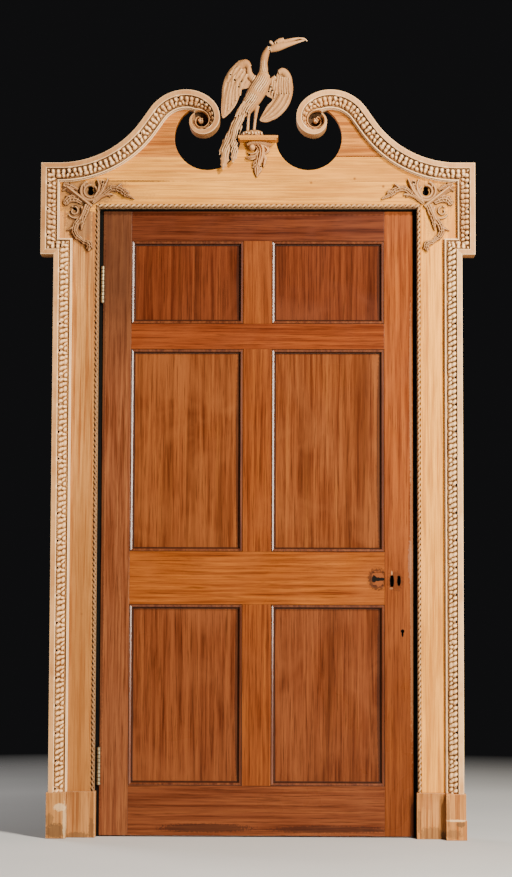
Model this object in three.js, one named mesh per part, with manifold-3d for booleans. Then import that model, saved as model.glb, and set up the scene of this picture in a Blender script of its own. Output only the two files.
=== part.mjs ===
// Carved pine door surround with a swan-neck head, a ho-ho bird and a hung six-panel door.
// Lengths are millimetres. Heights are counted from the floor; the last step moves the origin
// to the wall mount on the back of the head board. The front looks along -Y.
import * as THREE from 'three';
import { mergeVertices } from 'three/addons/utils/BufferGeometryUtils.js';
import Module from 'manifold-3d';

const wasm = await Module();
wasm.setup();

// Frame
const ORIGIN_HEIGHT = 2273;
const GAP = 0.3;

// Boards of the surround
const BOARD_THICK = 32;
const ROPE_INNER = 542.5;
const ROPE_WIDTH = 13.5;
const BOARD_INNER = ROPE_INNER + ROPE_WIDTH;
const HEAD_INNER = 2137;
const JAMB_OUTER = 696;
const EAR_OUTER = 741;
const EAR_BOTTOM = 1971;
const EAR_TOP = 2287;
const BAND_WIDTH = 60;
const LEFT_JAMB_TOP = 2124;
const HEAD_JOINT = 2231;
const NECK_JOINT = 2315;
const OPEN_JOINT = 4;
const OPEN_JOINT_DEPTH = 9;
const PEDESTAL_TOP = 2365;
const PEDESTAL_HALF = 174;
const VOID_X = 174;
const VOID_Z = 2383;
const VOID_RADIUS = 114;

// Plinth blocks
const PLINTH_TOP = 153;
const PLINTH_OUTER = 702;
const PLINTH_SEAM = 636;
const PLINTH_INNER_DEPTH = 42;
const PLINTH_OUTER_DEPTH = 80;
const PLINTH_STEP_Z = 66;
const PLINTH_STEP = 3;

// Backband profile, measured from its outer edge inwards, and its depth in front of the wall
const FASCIA_WIDTH = 18.5;
const FASCIA_DEPTH = 75;
const FILLET_DEPTH = 50;
const FILLET_WIDTH = 8;
const STEP_WIDTH = 2.5;
const STEP_DEPTH = 41;
const LEAF_PITCH = 92;
const LEAF_STEPS = 6;

// Swan neck, as seen on the right half
const NECK_FLAT_END = 679;
const NECK_RISE_RADIUS = 340;
const NECK_STRAIGHT = 54;
const NECK_ANGLE = 55;
const NECK_CROWN_RADIUS = 150;
const SCROLL_RADII = [130, 80, 60, 44.5, 33];
const SCROLL_TURNS = [45, 45, 90, 90, 60];
const NECK_STEPS = 16;
const SCROLL_STEPS = 11;
const EYE_X = 198;
const EYE_Z = 2438;
const EYE_BALL = 10;
const EYE_WEB = 34;
const EYE_WEB_DEPTH = 36;
const EYE_CLEAR = [33, 22];
const FASCIA_SHARE = 0.55;

// Rope twist
const ROPE_PITCH = 18.4;
const ROPE_CREST = 39;
const ROPE_GROOVE = 34.5;
const ROPE_EDGE = 29;

// Door leaf, lining and hinges
const DOOR_HALF = 531;
const DOOR_BOTTOM = 4;
const DOOR_TOP = 2131;
const DOOR_FRONT = 0.4;
const DOOR_THICK = 44;
const STILE = 97;
const MUNTIN_HALF = 48.5;
const RAILS = {
  bottom: [DOOR_BOTTOM, 171],
  lock: [782, 961],
  frieze: [1655, 1742],
  top: [2029, DOOR_TOP],
};
const PANEL_RECESS = 14;
const PANEL_THICK = 12;
const BOLECTION = 13;
const LINING_FACE = 534;
const LINING_THICK = 32;
const LINING_DEPTH = 118;
const STOP_STEP = 14;
const LINING_HEAD = 2134;
const HINGE_LENGTH = 127;
const HINGE_CENTRES = { upper: 1876, lower: 236 };
const PIN_X = -532.5;
const PIN_Y = -7;
const KNUCKLE_RADIUS = 6;
const PIN_RADIUS = 2.5;
const PIN_BORE = 2.9;
const LEAF_THICK = 2.2;
const LEAF_REACH = 36;

const materials = {
  pine: new THREE.MeshStandardMaterial({ color: 0xd8aa7a, roughness: 0.7 }),
  carving: new THREE.MeshStandardMaterial({ color: 0xe0b78a, roughness: 0.7 }),
  mahogany: new THREE.MeshStandardMaterial({ color: 0x8a4a28, roughness: 0.45 }),
  lining: new THREE.MeshStandardMaterial({ color: 0x24231f, roughness: 0.8 }),
  brass: new THREE.MeshStandardMaterial({ color: 0xb59a60, roughness: 0.4, metalness: 0.9 }),
};
for (const [name, material] of Object.entries(materials)) {
  material.name = name;
}

const group = new THREE.Group();
group.name = 'door_surround';

// Solids from triangle meshes and back

function bare(geometry) {
  const plain = new THREE.BufferGeometry();
  plain.setAttribute('position', geometry.getAttribute('position').clone());
  if (geometry.index) {
    plain.setIndex(geometry.index.clone());
  }
  return mergeVertices(plain, 1e-3);
}

function solidOf(geometry) {
  const merged = bare(geometry);
  const vertProperties = Float32Array.from(merged.getAttribute('position').array);
  const triVerts = Uint32Array.from(merged.index.array);
  return new wasm.Manifold(new wasm.Mesh({ numProp: 3, vertProperties, triVerts }));
}

function geometryOf(solid) {
  const mesh = solid.getMesh();
  const geometry = new THREE.BufferGeometry();
  const places = Float32Array.from(mesh.vertProperties);
  geometry.setAttribute('position', new THREE.BufferAttribute(places, 3));
  geometry.setIndex(new THREE.BufferAttribute(Uint32Array.from(mesh.triVerts), 1));
  return geometry;
}

function largest(solid) {
  const pieces = solid.decompose();
  pieces.sort((a, b) => b.volume() - a.volume());
  return pieces[0];
}

function unite(solids) {
  return solids.reduce((sum, solid) => sum.add(solid));
}

function add(name, material, shape) {
  const geometry = shape.isBufferGeometry ? bare(shape) : geometryOf(shape);
  geometry.translate(0, 0, -ORIGIN_HEIGHT);
  const flat = geometry.toNonIndexed();
  flat.computeVertexNormals();
  const mesh = new THREE.Mesh(flat, materials[material]);
  mesh.name = name;
  group.add(mesh);
}

// A closed mesh from a list of triangles, turned so that its faces look out
function closedFrom(corners) {
  let volume = 0;
  for (let i = 0; i < corners.length; i += 3) {
    volume += corners[i].dot(corners[i + 1].clone().cross(corners[i + 2]));
  }
  const places = [];
  for (let i = 0; i < corners.length; i += 3) {
    const order = volume > 0 ? [0, 1, 2] : [0, 2, 1];
    for (const k of order) {
      places.push(corners[i + k].x, corners[i + k].y, corners[i + k].z);
    }
  }
  const geometry = new THREE.BufferGeometry();
  geometry.setAttribute('position', new THREE.Float32BufferAttribute(places, 3));
  return bare(geometry);
}

function box(x0, x1, y0, y1, z0, z1) {
  const geometry = new THREE.BoxGeometry(x1 - x0, y1 - y0, z1 - z0);
  geometry.translate((x0 + x1) / 2, (y0 + y1) / 2, (z0 + z1) / 2);
  return geometry;
}

function boxSolid(...sides) {
  return solidOf(box(...sides));
}

// An outline in X and Z, given depth along Y
function slab(outline, front, back) {
  const shape = new THREE.Shape(outline.map(([x, z]) => new THREE.Vector2(x, z)));
  const geometry = new THREE.ExtrudeGeometry(shape, { depth: back - front, bevelEnabled: false });
  geometry.rotateX(Math.PI / 2);
  geometry.translate(0, back, 0);
  return geometry;
}

function roundBar(x, z, radius, front, back, sides) {
  const geometry = new THREE.CylinderGeometry(radius, radius, back - front, sides);
  geometry.translate(x, (front + back) / 2, 0);
  geometry.translate(0, 0, z);
  return solidOf(geometry);
}

function uprightBar(x, y, radius, z0, z1, sides) {
  const geometry = new THREE.CylinderGeometry(radius, radius, z1 - z0, sides);
  geometry.rotateX(Math.PI / 2);
  geometry.translate(x, y, (z0 + z1) / 2);
  return solidOf(geometry);
}

function ball(x, y, z, rx, ry, rz, across, down) {
  const geometry = new THREE.SphereGeometry(1, across, down);
  geometry.rotateX(Math.PI / 2);
  geometry.scale(rx, ry, rz);
  geometry.translate(x, y, z);
  return solidOf(geometry);
}

function mirrored(geometry) {
  const places = geometry.getAttribute('position');
  const index = geometry.index;
  const count = index ? index.count : places.count;
  const corners = [];
  for (let i = 0; i < count; i += 1) {
    const k = index ? index.getX(i) : i;
    corners.push(new THREE.Vector3(-places.getX(k), places.getY(k), places.getZ(k)));
  }
  return closedFrom(corners);
}

// Long carved mouldings: rows of points that run along a path, joined row to row

function stitch(rowA, rowB, corners) {
  let i = 0;
  let j = 0;
  while (i < rowA.length - 1 || j < rowB.length - 1) {
    const endA = i === rowA.length - 1;
    const endB = j === rowB.length - 1;
    if (endB || (!endA && rowA[i + 1].t <= rowB[j + 1].t + 1e-9)) {
      corners.push(rowA[i].p, rowA[i + 1].p, rowB[j].p);
      i += 1;
    } else {
      corners.push(rowA[i].p, rowB[j + 1].p, rowB[j].p);
      j += 1;
    }
  }
}

function capEnd(rows, pick, corners, flip) {
  const ring = rows.map((row) => new THREE.Vector2(row.u, row.points[pick(row)].p.y));
  for (const [a, b, c] of THREE.ShapeUtils.triangulateShape(ring, [])) {
    const trio = [a, b, c].map((k) => rows[k].points[pick(rows[k])].p);
    corners.push(...(flip ? [trio[0], trio[2], trio[1]] : trio));
  }
}

// run.at(s) gives a point on the outer edge and the way inwards; a row is a place across the
// profile with its own number of steps along the run and its own depth
function mouldingRun(run, profile) {
  const rows = profile.map((line) => {
    const steps = line.fine ? run.fineSteps : run.coarseSteps;
    const points = [];
    for (let k = 0; k <= steps; k += 1) {
      const start = run.startSkew * line.u;
      const end = run.length + run.endSkew * line.u;
      const t = k / steps;
      const s = start + (end - start) * t;
      const place = run.at(s);
      const u = run.across ? run.across(line.u, s) : line.u;
      const y = -line.depth(k, steps, run.phase);
      points.push({ t, p: new THREE.Vector3(place.x + u * place.nx, y, place.z + u * place.nz) });
    }
    return { u: line.u, points };
  });
  const corners = [];
  rows.forEach((row, k) => stitch(row.points, rows[(k + 1) % rows.length].points, corners));
  capEnd(rows, () => 0, corners, false);
  capEnd(rows, (row) => row.points.length - 1, corners, true);
  return closedFrom(corners);
}

// Straight run from one corner of the outer edge to the next
function straight(x0, z0, x1, z1, startSkew, endSkew, units, phase = 0) {
  const length = Math.hypot(x1 - x0, z1 - z0);
  const dx = (x1 - x0) / length;
  const dz = (z1 - z0) / length;
  const at = (s) => ({ x: x0 + dx * s, z: z0 + dz * s, nx: -dz, nz: dx });
  const fineSteps = units * LEAF_STEPS;
  return { length, at, startSkew, endSkew, fineSteps, phase, coarseSteps: Math.ceil(units / 5) };
}

// Fan leaf: finger lobes along the outer edge, a belly on the inner side, a drilled notch between
const LOBES = [0, 1, 0.45, 0.9, 0.45, 1];
const BELLY = [0, 0.35, 0.75, 1, 0.75, 0.35];
const still = (depth) => () => depth;

function leafDepth(base, lobe, belly) {
  return (k, steps, phase) => {
    if (k === 0 || k === steps) {
      return base;
    }
    const step = (k + phase) % LEAF_STEPS;
    return base + lobe * LOBES[step] + belly * BELLY[step];
  };
}

const backbandProfile = [
  { u: 0, depth: still(0) },
  { u: 0, depth: still(FASCIA_DEPTH) },
  { u: FASCIA_WIDTH, depth: still(FASCIA_DEPTH) },
  { u: FASCIA_WIDTH + 4, depth: leafDepth(60, 11, 2), fine: true },
  { u: FASCIA_WIDTH + 22, depth: leafDepth(46, 1, 17), fine: true },
  { u: BAND_WIDTH - FILLET_WIDTH, depth: still(FILLET_DEPTH) },
  { u: BAND_WIDTH - STEP_WIDTH, depth: still(FILLET_DEPTH) },
  { u: BAND_WIDTH - STEP_WIDTH, depth: still(STEP_DEPTH) },
  { u: BAND_WIDTH, depth: still(STEP_DEPTH) },
  { u: BAND_WIDTH, depth: still(0) },
];

function pair(name, material, geometry) {
  add(`${name}_right`, material, geometry);
  add(`${name}_left`, material, mirrored(geometry));
}

const CLEAR = GAP / 2;
const jambBottom = PLINTH_TOP + GAP;
const mitre = CLEAR * Math.SQRT2;
const jambRun = straight(JAMB_OUTER, jambBottom, JAMB_OUTER, EAR_BOTTOM - mitre, 0, 1, 20);
pair('backband_jamb', 'carving', mouldingRun(jambRun, backbandProfile));

const returnStart = JAMB_OUTER + mitre;
const returnRun = straight(returnStart, EAR_BOTTOM, EAR_OUTER - mitre, EAR_BOTTOM, -1, -1, 1);
pair('ear_return', 'carving', mouldingRun(returnRun, backbandProfile));

const sideTop = EAR_TOP - mitre;
const sideRun = straight(EAR_OUTER, EAR_BOTTOM + mitre, EAR_OUTER, sideTop, 1, -1, 3, LEAF_STEPS / 2);
pair('ear_side', 'carving', mouldingRun(sideRun, backbandProfile));

// Leaf strands: a keeled or round section swept along a curve

function strand(knots, style) {
  const curve = new THREE.CatmullRomCurve3(knots.map(([x, y, z]) => new THREE.Vector3(x, y, z)));
  const steps = style.steps ?? (knots.length - 1) * 2;
  const rings = [];
  for (let k = 0; k <= steps; k += 1) {
    const place = (k / steps) * (knots.length - 1);
    const low = Math.min(Math.floor(place), knots.length - 2);
    const mix = place - low;
    const half = THREE.MathUtils.lerp(knots[low][3], knots[low + 1][3], mix);
    const rise = THREE.MathUtils.lerp(knots[low][4], knots[low + 1][4], mix);
    const centre = curve.getPoint(k / steps);
    const along = curve.getTangent(k / steps);
    const front = new THREE.Vector3(0, -1, 0);
    front.addScaledVector(along, -front.dot(along)).normalize();
    const side = new THREE.Vector3().crossVectors(along, front);
    const section = style.section(half, rise);
    rings.push(section.map(([a, b]) => centre.clone().addScaledVector(side, a).addScaledVector(front, b)));
  }
  const corners = [];
  const count = rings[0].length;
  for (let k = 0; k < steps; k += 1) {
    for (let i = 0; i < count; i += 1) {
      const j = (i + 1) % count;
      corners.push(rings[k][i], rings[k + 1][i], rings[k][j]);
      corners.push(rings[k][j], rings[k + 1][i], rings[k + 1][j]);
    }
  }
  for (let i = 1; i < count - 1; i += 1) {
    corners.push(rings[0][0], rings[0][i], rings[0][i + 1]);
    corners.push(rings[steps][0], rings[steps][i + 1], rings[steps][i]);
  }
  return solidOf(closedFrom(corners));
}

const keeled = (half, rise) => [[half, 0], [0, rise], [-half, 0]];
const quill = (half, rise) => [[half, 0], [0, rise], [-half, 0], [0, -rise]];
function roundSection(sides) {
  return (half, rise) => Array.from({ length: sides }, (_, i) => {
    const turn = (i / sides) * Math.PI * 2;
    return [half * Math.cos(turn), rise * Math.sin(turn)];
  });
}

// Flat-backed strand on a face at depth y, through points of x, z, half width and rise
function applied(y, points, steps) {
  const knots = points.map(([x, z, half, rise]) => [x, y, z, half, rise]);
  return strand(knots, { section: keeled, steps });
}

// A curl about a centre, from one angle to another in degrees
function curl(y, cx, cz, r0, r1, from, to, half0, half1, rise, steps) {
  const count = 5;
  const points = [];
  for (let k = 0; k <= count; k += 1) {
    const turn = THREE.MathUtils.degToRad(THREE.MathUtils.lerp(from, to, k / count));
    const radius = THREE.MathUtils.lerp(r0, r1, k / count);
    const half = THREE.MathUtils.lerp(half0, half1, k / count);
    points.push([cx + radius * Math.cos(turn), cz + radius * Math.sin(turn), half, rise]);
  }
  return applied(y, points, steps);
}

// Outer edge of the swan neck as arcs and straights, from the ear to the scroll

function chain(startX, startZ, heading, pieces) {
  const spans = [];
  let x = startX;
  let z = startZ;
  let angle = heading;
  let total = 0;
  for (const piece of pieces) {
    const turn = THREE.MathUtils.degToRad(piece.turn ?? 0);
    const length = piece.length ?? piece.radius * Math.abs(turn);
    spans.push({ x, z, angle, turn, length, radius: piece.radius, from: total });
    if (turn === 0) {
      x += length * Math.cos(angle);
      z += length * Math.sin(angle);
    } else {
      const side = Math.sign(turn);
      x += piece.radius * side * (Math.sin(angle + turn) - Math.sin(angle));
      z -= piece.radius * side * (Math.cos(angle + turn) - Math.cos(angle));
    }
    angle += turn;
    total += length;
  }
  const at = (s) => {
    const place = Math.min(Math.max(s, 0), total);
    const span = spans.findLast((one) => place >= one.from - 1e-9);
    const along = place - span.from;
    if (span.turn === 0) {
      return edge(span.x + along * Math.cos(span.angle), span.z + along * Math.sin(span.angle), span.angle);
    }
    const side = Math.sign(span.turn);
    const now = span.angle + side * along / span.radius;
    const px = span.x + span.radius * side * (Math.sin(now) - Math.sin(span.angle));
    const pz = span.z - span.radius * side * (Math.cos(now) - Math.cos(span.angle));
    return edge(px, pz, now);
  };
  return { at, length: total, spans };
}

function edge(x, z, angle) {
  return { x, z, nx: -Math.sin(angle), nz: Math.cos(angle) };
}

const neckChain = chain(EAR_OUTER - mitre, EAR_TOP, Math.PI, [
  { length: EAR_OUTER - mitre - NECK_FLAT_END },
  { radius: NECK_RISE_RADIUS, turn: -NECK_ANGLE },
  { length: NECK_STRAIGHT },
  { radius: NECK_CROWN_RADIUS, turn: NECK_ANGLE },
  ...SCROLL_RADII.map((radius, k) => ({ radius, turn: SCROLL_TURNS[k] })),
]);
const scrollStart = neckChain.spans[4].from;

// In the scroll the fascia keeps its width as long as it can, the carving narrows and a hollow is
// left round the eye
function neckAcross(u, s) {
  if (s <= scrollStart) {
    return u;
  }
  const place = neckChain.at(s);
  const along = (s - scrollStart) / (neckChain.length - scrollStart);
  const clear = THREE.MathUtils.lerp(EYE_CLEAR[0], EYE_CLEAR[1], along);
  const room = Math.min(BAND_WIDTH, Math.hypot(place.x - EYE_X, place.z - EYE_Z) - clear);
  const fascia = Math.min(FASCIA_WIDTH, FASCIA_SHARE * room);
  if (u <= FASCIA_WIDTH) {
    return u * fascia / FASCIA_WIDTH;
  }
  return fascia + (u - FASCIA_WIDTH) * (room - fascia) / (BAND_WIDTH - FASCIA_WIDTH);
}

function neckPart(from, to, startSkew, coarse) {
  const length = to - from;
  const units = Math.max(1, Math.round(length / LEAF_PITCH));
  return {
    length,
    at: (s) => neckChain.at(from + s),
    startSkew,
    endSkew: 0,
    fineSteps: units * LEAF_STEPS,
    coarseSteps: coarse,
    phase: 0,
    across: (u, s) => neckAcross(u, from + s),
  };
}

const scrollSplit = neckChain.spans[6].from;
const neckSolid = unite([
  solidOf(mouldingRun(neckPart(0, scrollSplit + 2, 1, NECK_STEPS), backbandProfile)),
  solidOf(mouldingRun(neckPart(scrollSplit, neckChain.length, 0, SCROLL_STEPS), backbandProfile)),
  roundBar(EYE_X, EYE_Z, EYE_WEB, -EYE_WEB_DEPTH, 0, 12),
  curl(-EYE_WEB_DEPTH + 2, EYE_X, EYE_Z, EYE_WEB, 16, 60, 410, 6, 7, 26, 9),
  ball(EYE_X, -EYE_WEB_DEPTH, EYE_Z, EYE_BALL, 26, EYE_BALL, 6, 5),
]);
pair('swan_neck', 'carving', geometryOf(largest(neckSolid)));

// The flat boards: one plate bounded by the mouldings, sawn into boards

const BAND_INNER = BAND_WIDTH + GAP;
const neckInner = [];
const neckFirst = neckPart(0, scrollSplit + 2, 1, NECK_STEPS);
for (let k = 0; k <= neckFirst.coarseSteps; k += 1) {
  const s = BAND_WIDTH + (neckFirst.length - BAND_WIDTH) * k / neckFirst.coarseSteps;
  const place = neckChain.at(s);
  const u = neckAcross(BAND_WIDTH, s) + GAP;
  neckInner.push([place.x + u * place.nx, place.z + u * place.nz]);
  if (s > scrollStart + 30) {
    break;
  }
}
const innerTip = neckInner[neckInner.length - 1];
const rightHalf = [
  [BOARD_INNER, 0],
  [JAMB_OUTER - BAND_INNER, 0],
  [JAMB_OUTER - BAND_INNER, EAR_BOTTOM + BAND_INNER],
  [EAR_OUTER - BAND_INNER, EAR_BOTTOM + BAND_INNER],
  [EAR_OUTER - BAND_INNER, EAR_TOP - BAND_INNER],
  ...neckInner.filter(([x]) => x < EAR_OUTER - BAND_INNER - 1),
  [innerTip[0], PEDESTAL_TOP],
];
const openingTop = HEAD_INNER + ROPE_WIDTH;
const plateOutline = [
  ...rightHalf,
  ...rightHalf.map(([x, z]) => [-x, z]).reverse(),
  [-BOARD_INNER, openingTop],
  [BOARD_INNER, openingTop],
];
const voids = [-1, 1].map((side) => roundBar(side * VOID_X, VOID_Z, VOID_RADIUS, -90, 50, 40));
const plate = solidOf(slab(plateOutline, -BOARD_THICK, 0)).subtract(unite(voids));

// Drilled sinkings behind the corner sprays
const SINK_DEPTH = 24;
const sinkings = [];
for (const side of [-1, 1]) {
  sinkings.push(roundBar(side * 575, 2192, 11, -90, SINK_DEPTH - BOARD_THICK, 12));
  sinkings.push(roundBar(side * 575, 2205, 8.5, -90, SINK_DEPTH - BOARD_THICK, 10));
}
sinkings.push(roundBar(-627, 2138, 9, -90, SINK_DEPTH - BOARD_THICK, 10));
const drilled = plate.subtract(unite(sinkings));

function sawn(x0, x1, z0, z1) {
  return drilled.intersect(boxSolid(x0, x1, -200, 200, z0, z1));
}

const farX = 900;
const farZ = 2700;
const headEnd = BOARD_INNER - GAP;
const jambRight = sawn(BOARD_INNER, farX, PLINTH_TOP + GAP, farZ);
add('jamb_board_left', 'pine', largest(sawn(-farX, 0, PLINTH_TOP + GAP, LEFT_JAMB_TOP)));
add('jamb_board_right', 'pine', largest(jambRight));
add('head_board_lower', 'pine', largest(sawn(-farX, headEnd, LEFT_JAMB_TOP + GAP, HEAD_JOINT)));
const headUpper = sawn(-farX, headEnd, HEAD_JOINT + GAP, NECK_JOINT);
const pedestal = sawn(-PEDESTAL_HALF, PEDESTAL_HALF, NECK_JOINT - 1, PEDESTAL_TOP);
add('head_board_upper', 'pine', largest(headUpper.add(pedestal)));
const openJoint = boxSolid(0, farX, -90, OPEN_JOINT_DEPTH - BOARD_THICK, 2300, NECK_JOINT + OPEN_JOINT);
add('neck_board_left', 'pine', largest(sawn(-farX, -PEDESTAL_HALF, NECK_JOINT + GAP, farZ)));
const neckRight = sawn(PEDESTAL_HALF, farX, NECK_JOINT + GAP, farZ).subtract(openJoint);
add('neck_board_right', 'pine', largest(neckRight));

// Plinth blocks; the outer one on the right has a stepped foot
pair('plinth_inner', 'pine', box(ROPE_INNER - 2, PLINTH_SEAM - GAP, -PLINTH_INNER_DEPTH, 0, 0, PLINTH_TOP));
const plinthOuter = boxSolid(PLINTH_SEAM, PLINTH_OUTER, -PLINTH_OUTER_DEPTH, 0, 0, PLINTH_TOP);
const stepDepth = PLINTH_OUTER_DEPTH + PLINTH_STEP;
const plinthStep = boxSolid(PLINTH_SEAM, PLINTH_OUTER + PLINTH_STEP, -stepDepth, 0, 0, PLINTH_STEP_Z);
add('plinth_outer_right', 'pine', plinthOuter.add(plinthStep));
add('plinth_outer_left', 'pine', mirrored(geometryOf(plinthOuter)));

// Rope twist round the opening

// One strand of the twist takes two steps: up to the crest, then down into the groove
const ropeDepth = (k) => (k % 2 === 0 ? ROPE_GROOVE : ROPE_CREST);
const ropeProfile = [
  { u: 0, depth: still(0) },
  { u: 0, depth: still(ROPE_EDGE) },
  { u: ROPE_WIDTH / 2, depth: ropeDepth, fine: true },
  { u: ROPE_WIDTH - GAP, depth: still(ROPE_EDGE) },
  { u: ROPE_WIDTH - GAP, depth: still(0) },
];

function ropeRun(run) {
  const beads = Math.round(run.length / ROPE_PITCH);
  return mouldingRun({ ...run, fineSteps: beads * 2, coarseSteps: Math.ceil(beads / 20) }, ropeProfile);
}

const ropeOut = BOARD_INNER - GAP;
const ropeTop = openingTop - GAP;
const jambRope = straight(ropeOut, jambBottom, ropeOut, ropeTop - mitre, 0, -1, 1);
pair('rope_jamb', 'carving', ropeRun(jambRope));
const headRope = straight(ropeOut - mitre, ropeTop, -ropeOut + mitre, ropeTop, 1, -1, 1);
add('rope_head', 'carving', ropeRun(headRope));

// Sprays of leaves in the two top corners
const onBoard = -BOARD_THICK - GAP;
const spray = unite([
  applied(onBoard, [[572, 2146, 7, 13], [612, 2178, 6, 16], [640, 2200, 8, 17], [668, 2221, 10, 14]], 3),
  applied(onBoard, [[618, 2196, 4, 8], [640, 2214, 9, 13], [666, 2222, 8, 9]], 3),
  applied(onBoard, [[622, 2176, 5, 8], [650, 2178, 11, 12], [668, 2164, 9, 9], [673, 2148, 2, 5]], 4),
  curl(onBoard, 574, 2197, 33, 25, 50, -205, 8, 10, 16, 7),
  applied(onBoard, [[583, 2143, 8, 15], [552, 2160, 12, 17], [529, 2190, 10, 15], [512, 2219, 8, 12], [501, 2240, 2, 6]], 4),
  applied(onBoard, [[536, 2186, 9, 12], [508, 2206, 11, 14], [481, 2203, 13, 15], [456, 2184, 11, 13], [422, 2162, 2, 6]], 5),
  applied(onBoard, [[505, 2204, 6, 8], [492, 2186, 6, 8], [486, 2174, 1.5, 5]], 2),
  applied(onBoard, [[576, 2148, 8, 15], [590, 2115, 12, 15], [601, 2088, 8, 12], [604, 2057, 2, 6]], 4),
  applied(onBoard, [[596, 2110, 9, 13], [617, 2080, 12, 15], [630, 2054, 11, 15], [620, 2028, 10, 14],
    [600, 2016, 9, 13], [588, 2002, 11, 13], [577, 1985, 2, 6]], 7),
  applied(onBoard, [[622, 2076, 6, 9], [642, 2064, 7, 9], [658, 2055, 1.5, 5]], 2),
  curl(onBoard, 628, 2124, 24, 8, 215, -120, 7, 7, 13, 7),
]);
const sprayRoom = boxSolid(300, EAR_OUTER - BAND_INNER - GAP, -200, 0, 1900, EAR_TOP - BAND_INNER - GAP);
const ropeRoom = boxSolid(300, BOARD_INNER + GAP, -200, 0, 1900, openingTop + GAP);
pair('corner_spray', 'carving', geometryOf(largest(spray.intersect(sprayRoom).subtract(ropeRoom))));

// Shelf and leaf under the bird
const CAP_HALF = 68;
const CAP_Z = [2366, 2380];
const CAP_FRONT = 84;
const capBoard = boxSolid(-CAP_HALF, CAP_HALF, -CAP_FRONT, -4, CAP_Z[0] + 5, CAP_Z[1]);
const capUnder = boxSolid(-CAP_HALF + 5, CAP_HALF - 5, -CAP_FRONT + 6, -4, CAP_Z[0], CAP_Z[0] + 6);
add('pedestal_cap', 'pine', capBoard.add(capUnder));

const leaf = unite([
  applied(onBoard, [[-35, 2353, 6, 16], [-6, 2357, 8, 24], [20, 2355, 8, 24], [41, 2352, 6, 14]], 3),
  curl(onBoard, -18, 2342, 15, 4, 60, -300, 6, 6, 26, 7),
  applied(onBoard, [[-4, 2352, 9, 22], [19, 2338, 11, 28], [24, 2308, 12, 27], [14, 2275, 10, 20], [-1, 2244, 2, 6]], 6),
  applied(onBoard, [[20, 2330, 8, 20], [4, 2308, 9, 22], [-14, 2301, 9, 18], [-40, 2312, 3, 8]], 4),
  applied(onBoard, [[18, 2308, 8, 18], [2, 2290, 8, 16], [-20, 2274, 2, 6]], 3),
  applied(onBoard, [[22, 2350, 8, 18], [36, 2340, 8, 15], [34, 2316, 2, 6]], 3),
  applied(onBoard, [[24, 2325, 8, 17], [30, 2300, 8, 14], [20, 2278, 2, 6]], 3),
]);
add('pedestal_leaf', 'carving', largest(leaf));

// The bird, carved in the round on a rocky mound
const BIRD_Y = -52;
const WING_POINTS = 17;
const MOUND_Z = CAP_Z[1] + GAP;

function limb(points, sides, steps) {
  const knots = points.map(([x, z, half, rise, y]) => [x, BIRD_Y + (y ?? 0), z, half, rise]);
  return strand(knots, { section: roundSection(sides), steps });
}

function feather(points, steps) {
  const knots = points.map(([x, z, half, rise, y]) => [x, BIRD_Y + (y ?? 0), z, half, rise]);
  return strand(knots, { section: quill, steps });
}

// A wing is a thin blade with a smooth outline, with long feathers laid over its front
function wing(outline, front, back) {
  const loop = new THREE.CatmullRomCurve3(outline.map(([x, z]) => new THREE.Vector3(x, 0, z)), true);
  const rim = loop.getPoints(WING_POINTS).slice(0, -1).map((p) => [p.x, p.z]);
  return solidOf(slab(rim, BIRD_Y + front, BIRD_Y + back));
}

const leftWing = [[-33, 2640], [-50, 2650], [-92, 2619], [-119, 2552], [-127, 2480], [-121, 2446],
  [-84, 2482], [-58, 2545], [-14, 2562], [-20, 2590], [-36, 2612]];
const rightWing = [[70, 2612], [86, 2619], [108, 2600], [119, 2552], [104, 2495], [62, 2448], [20, 2432],
  [6, 2438], [28, 2484], [47, 2512], [22, 2545], [30, 2580], [58, 2586]];

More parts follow.
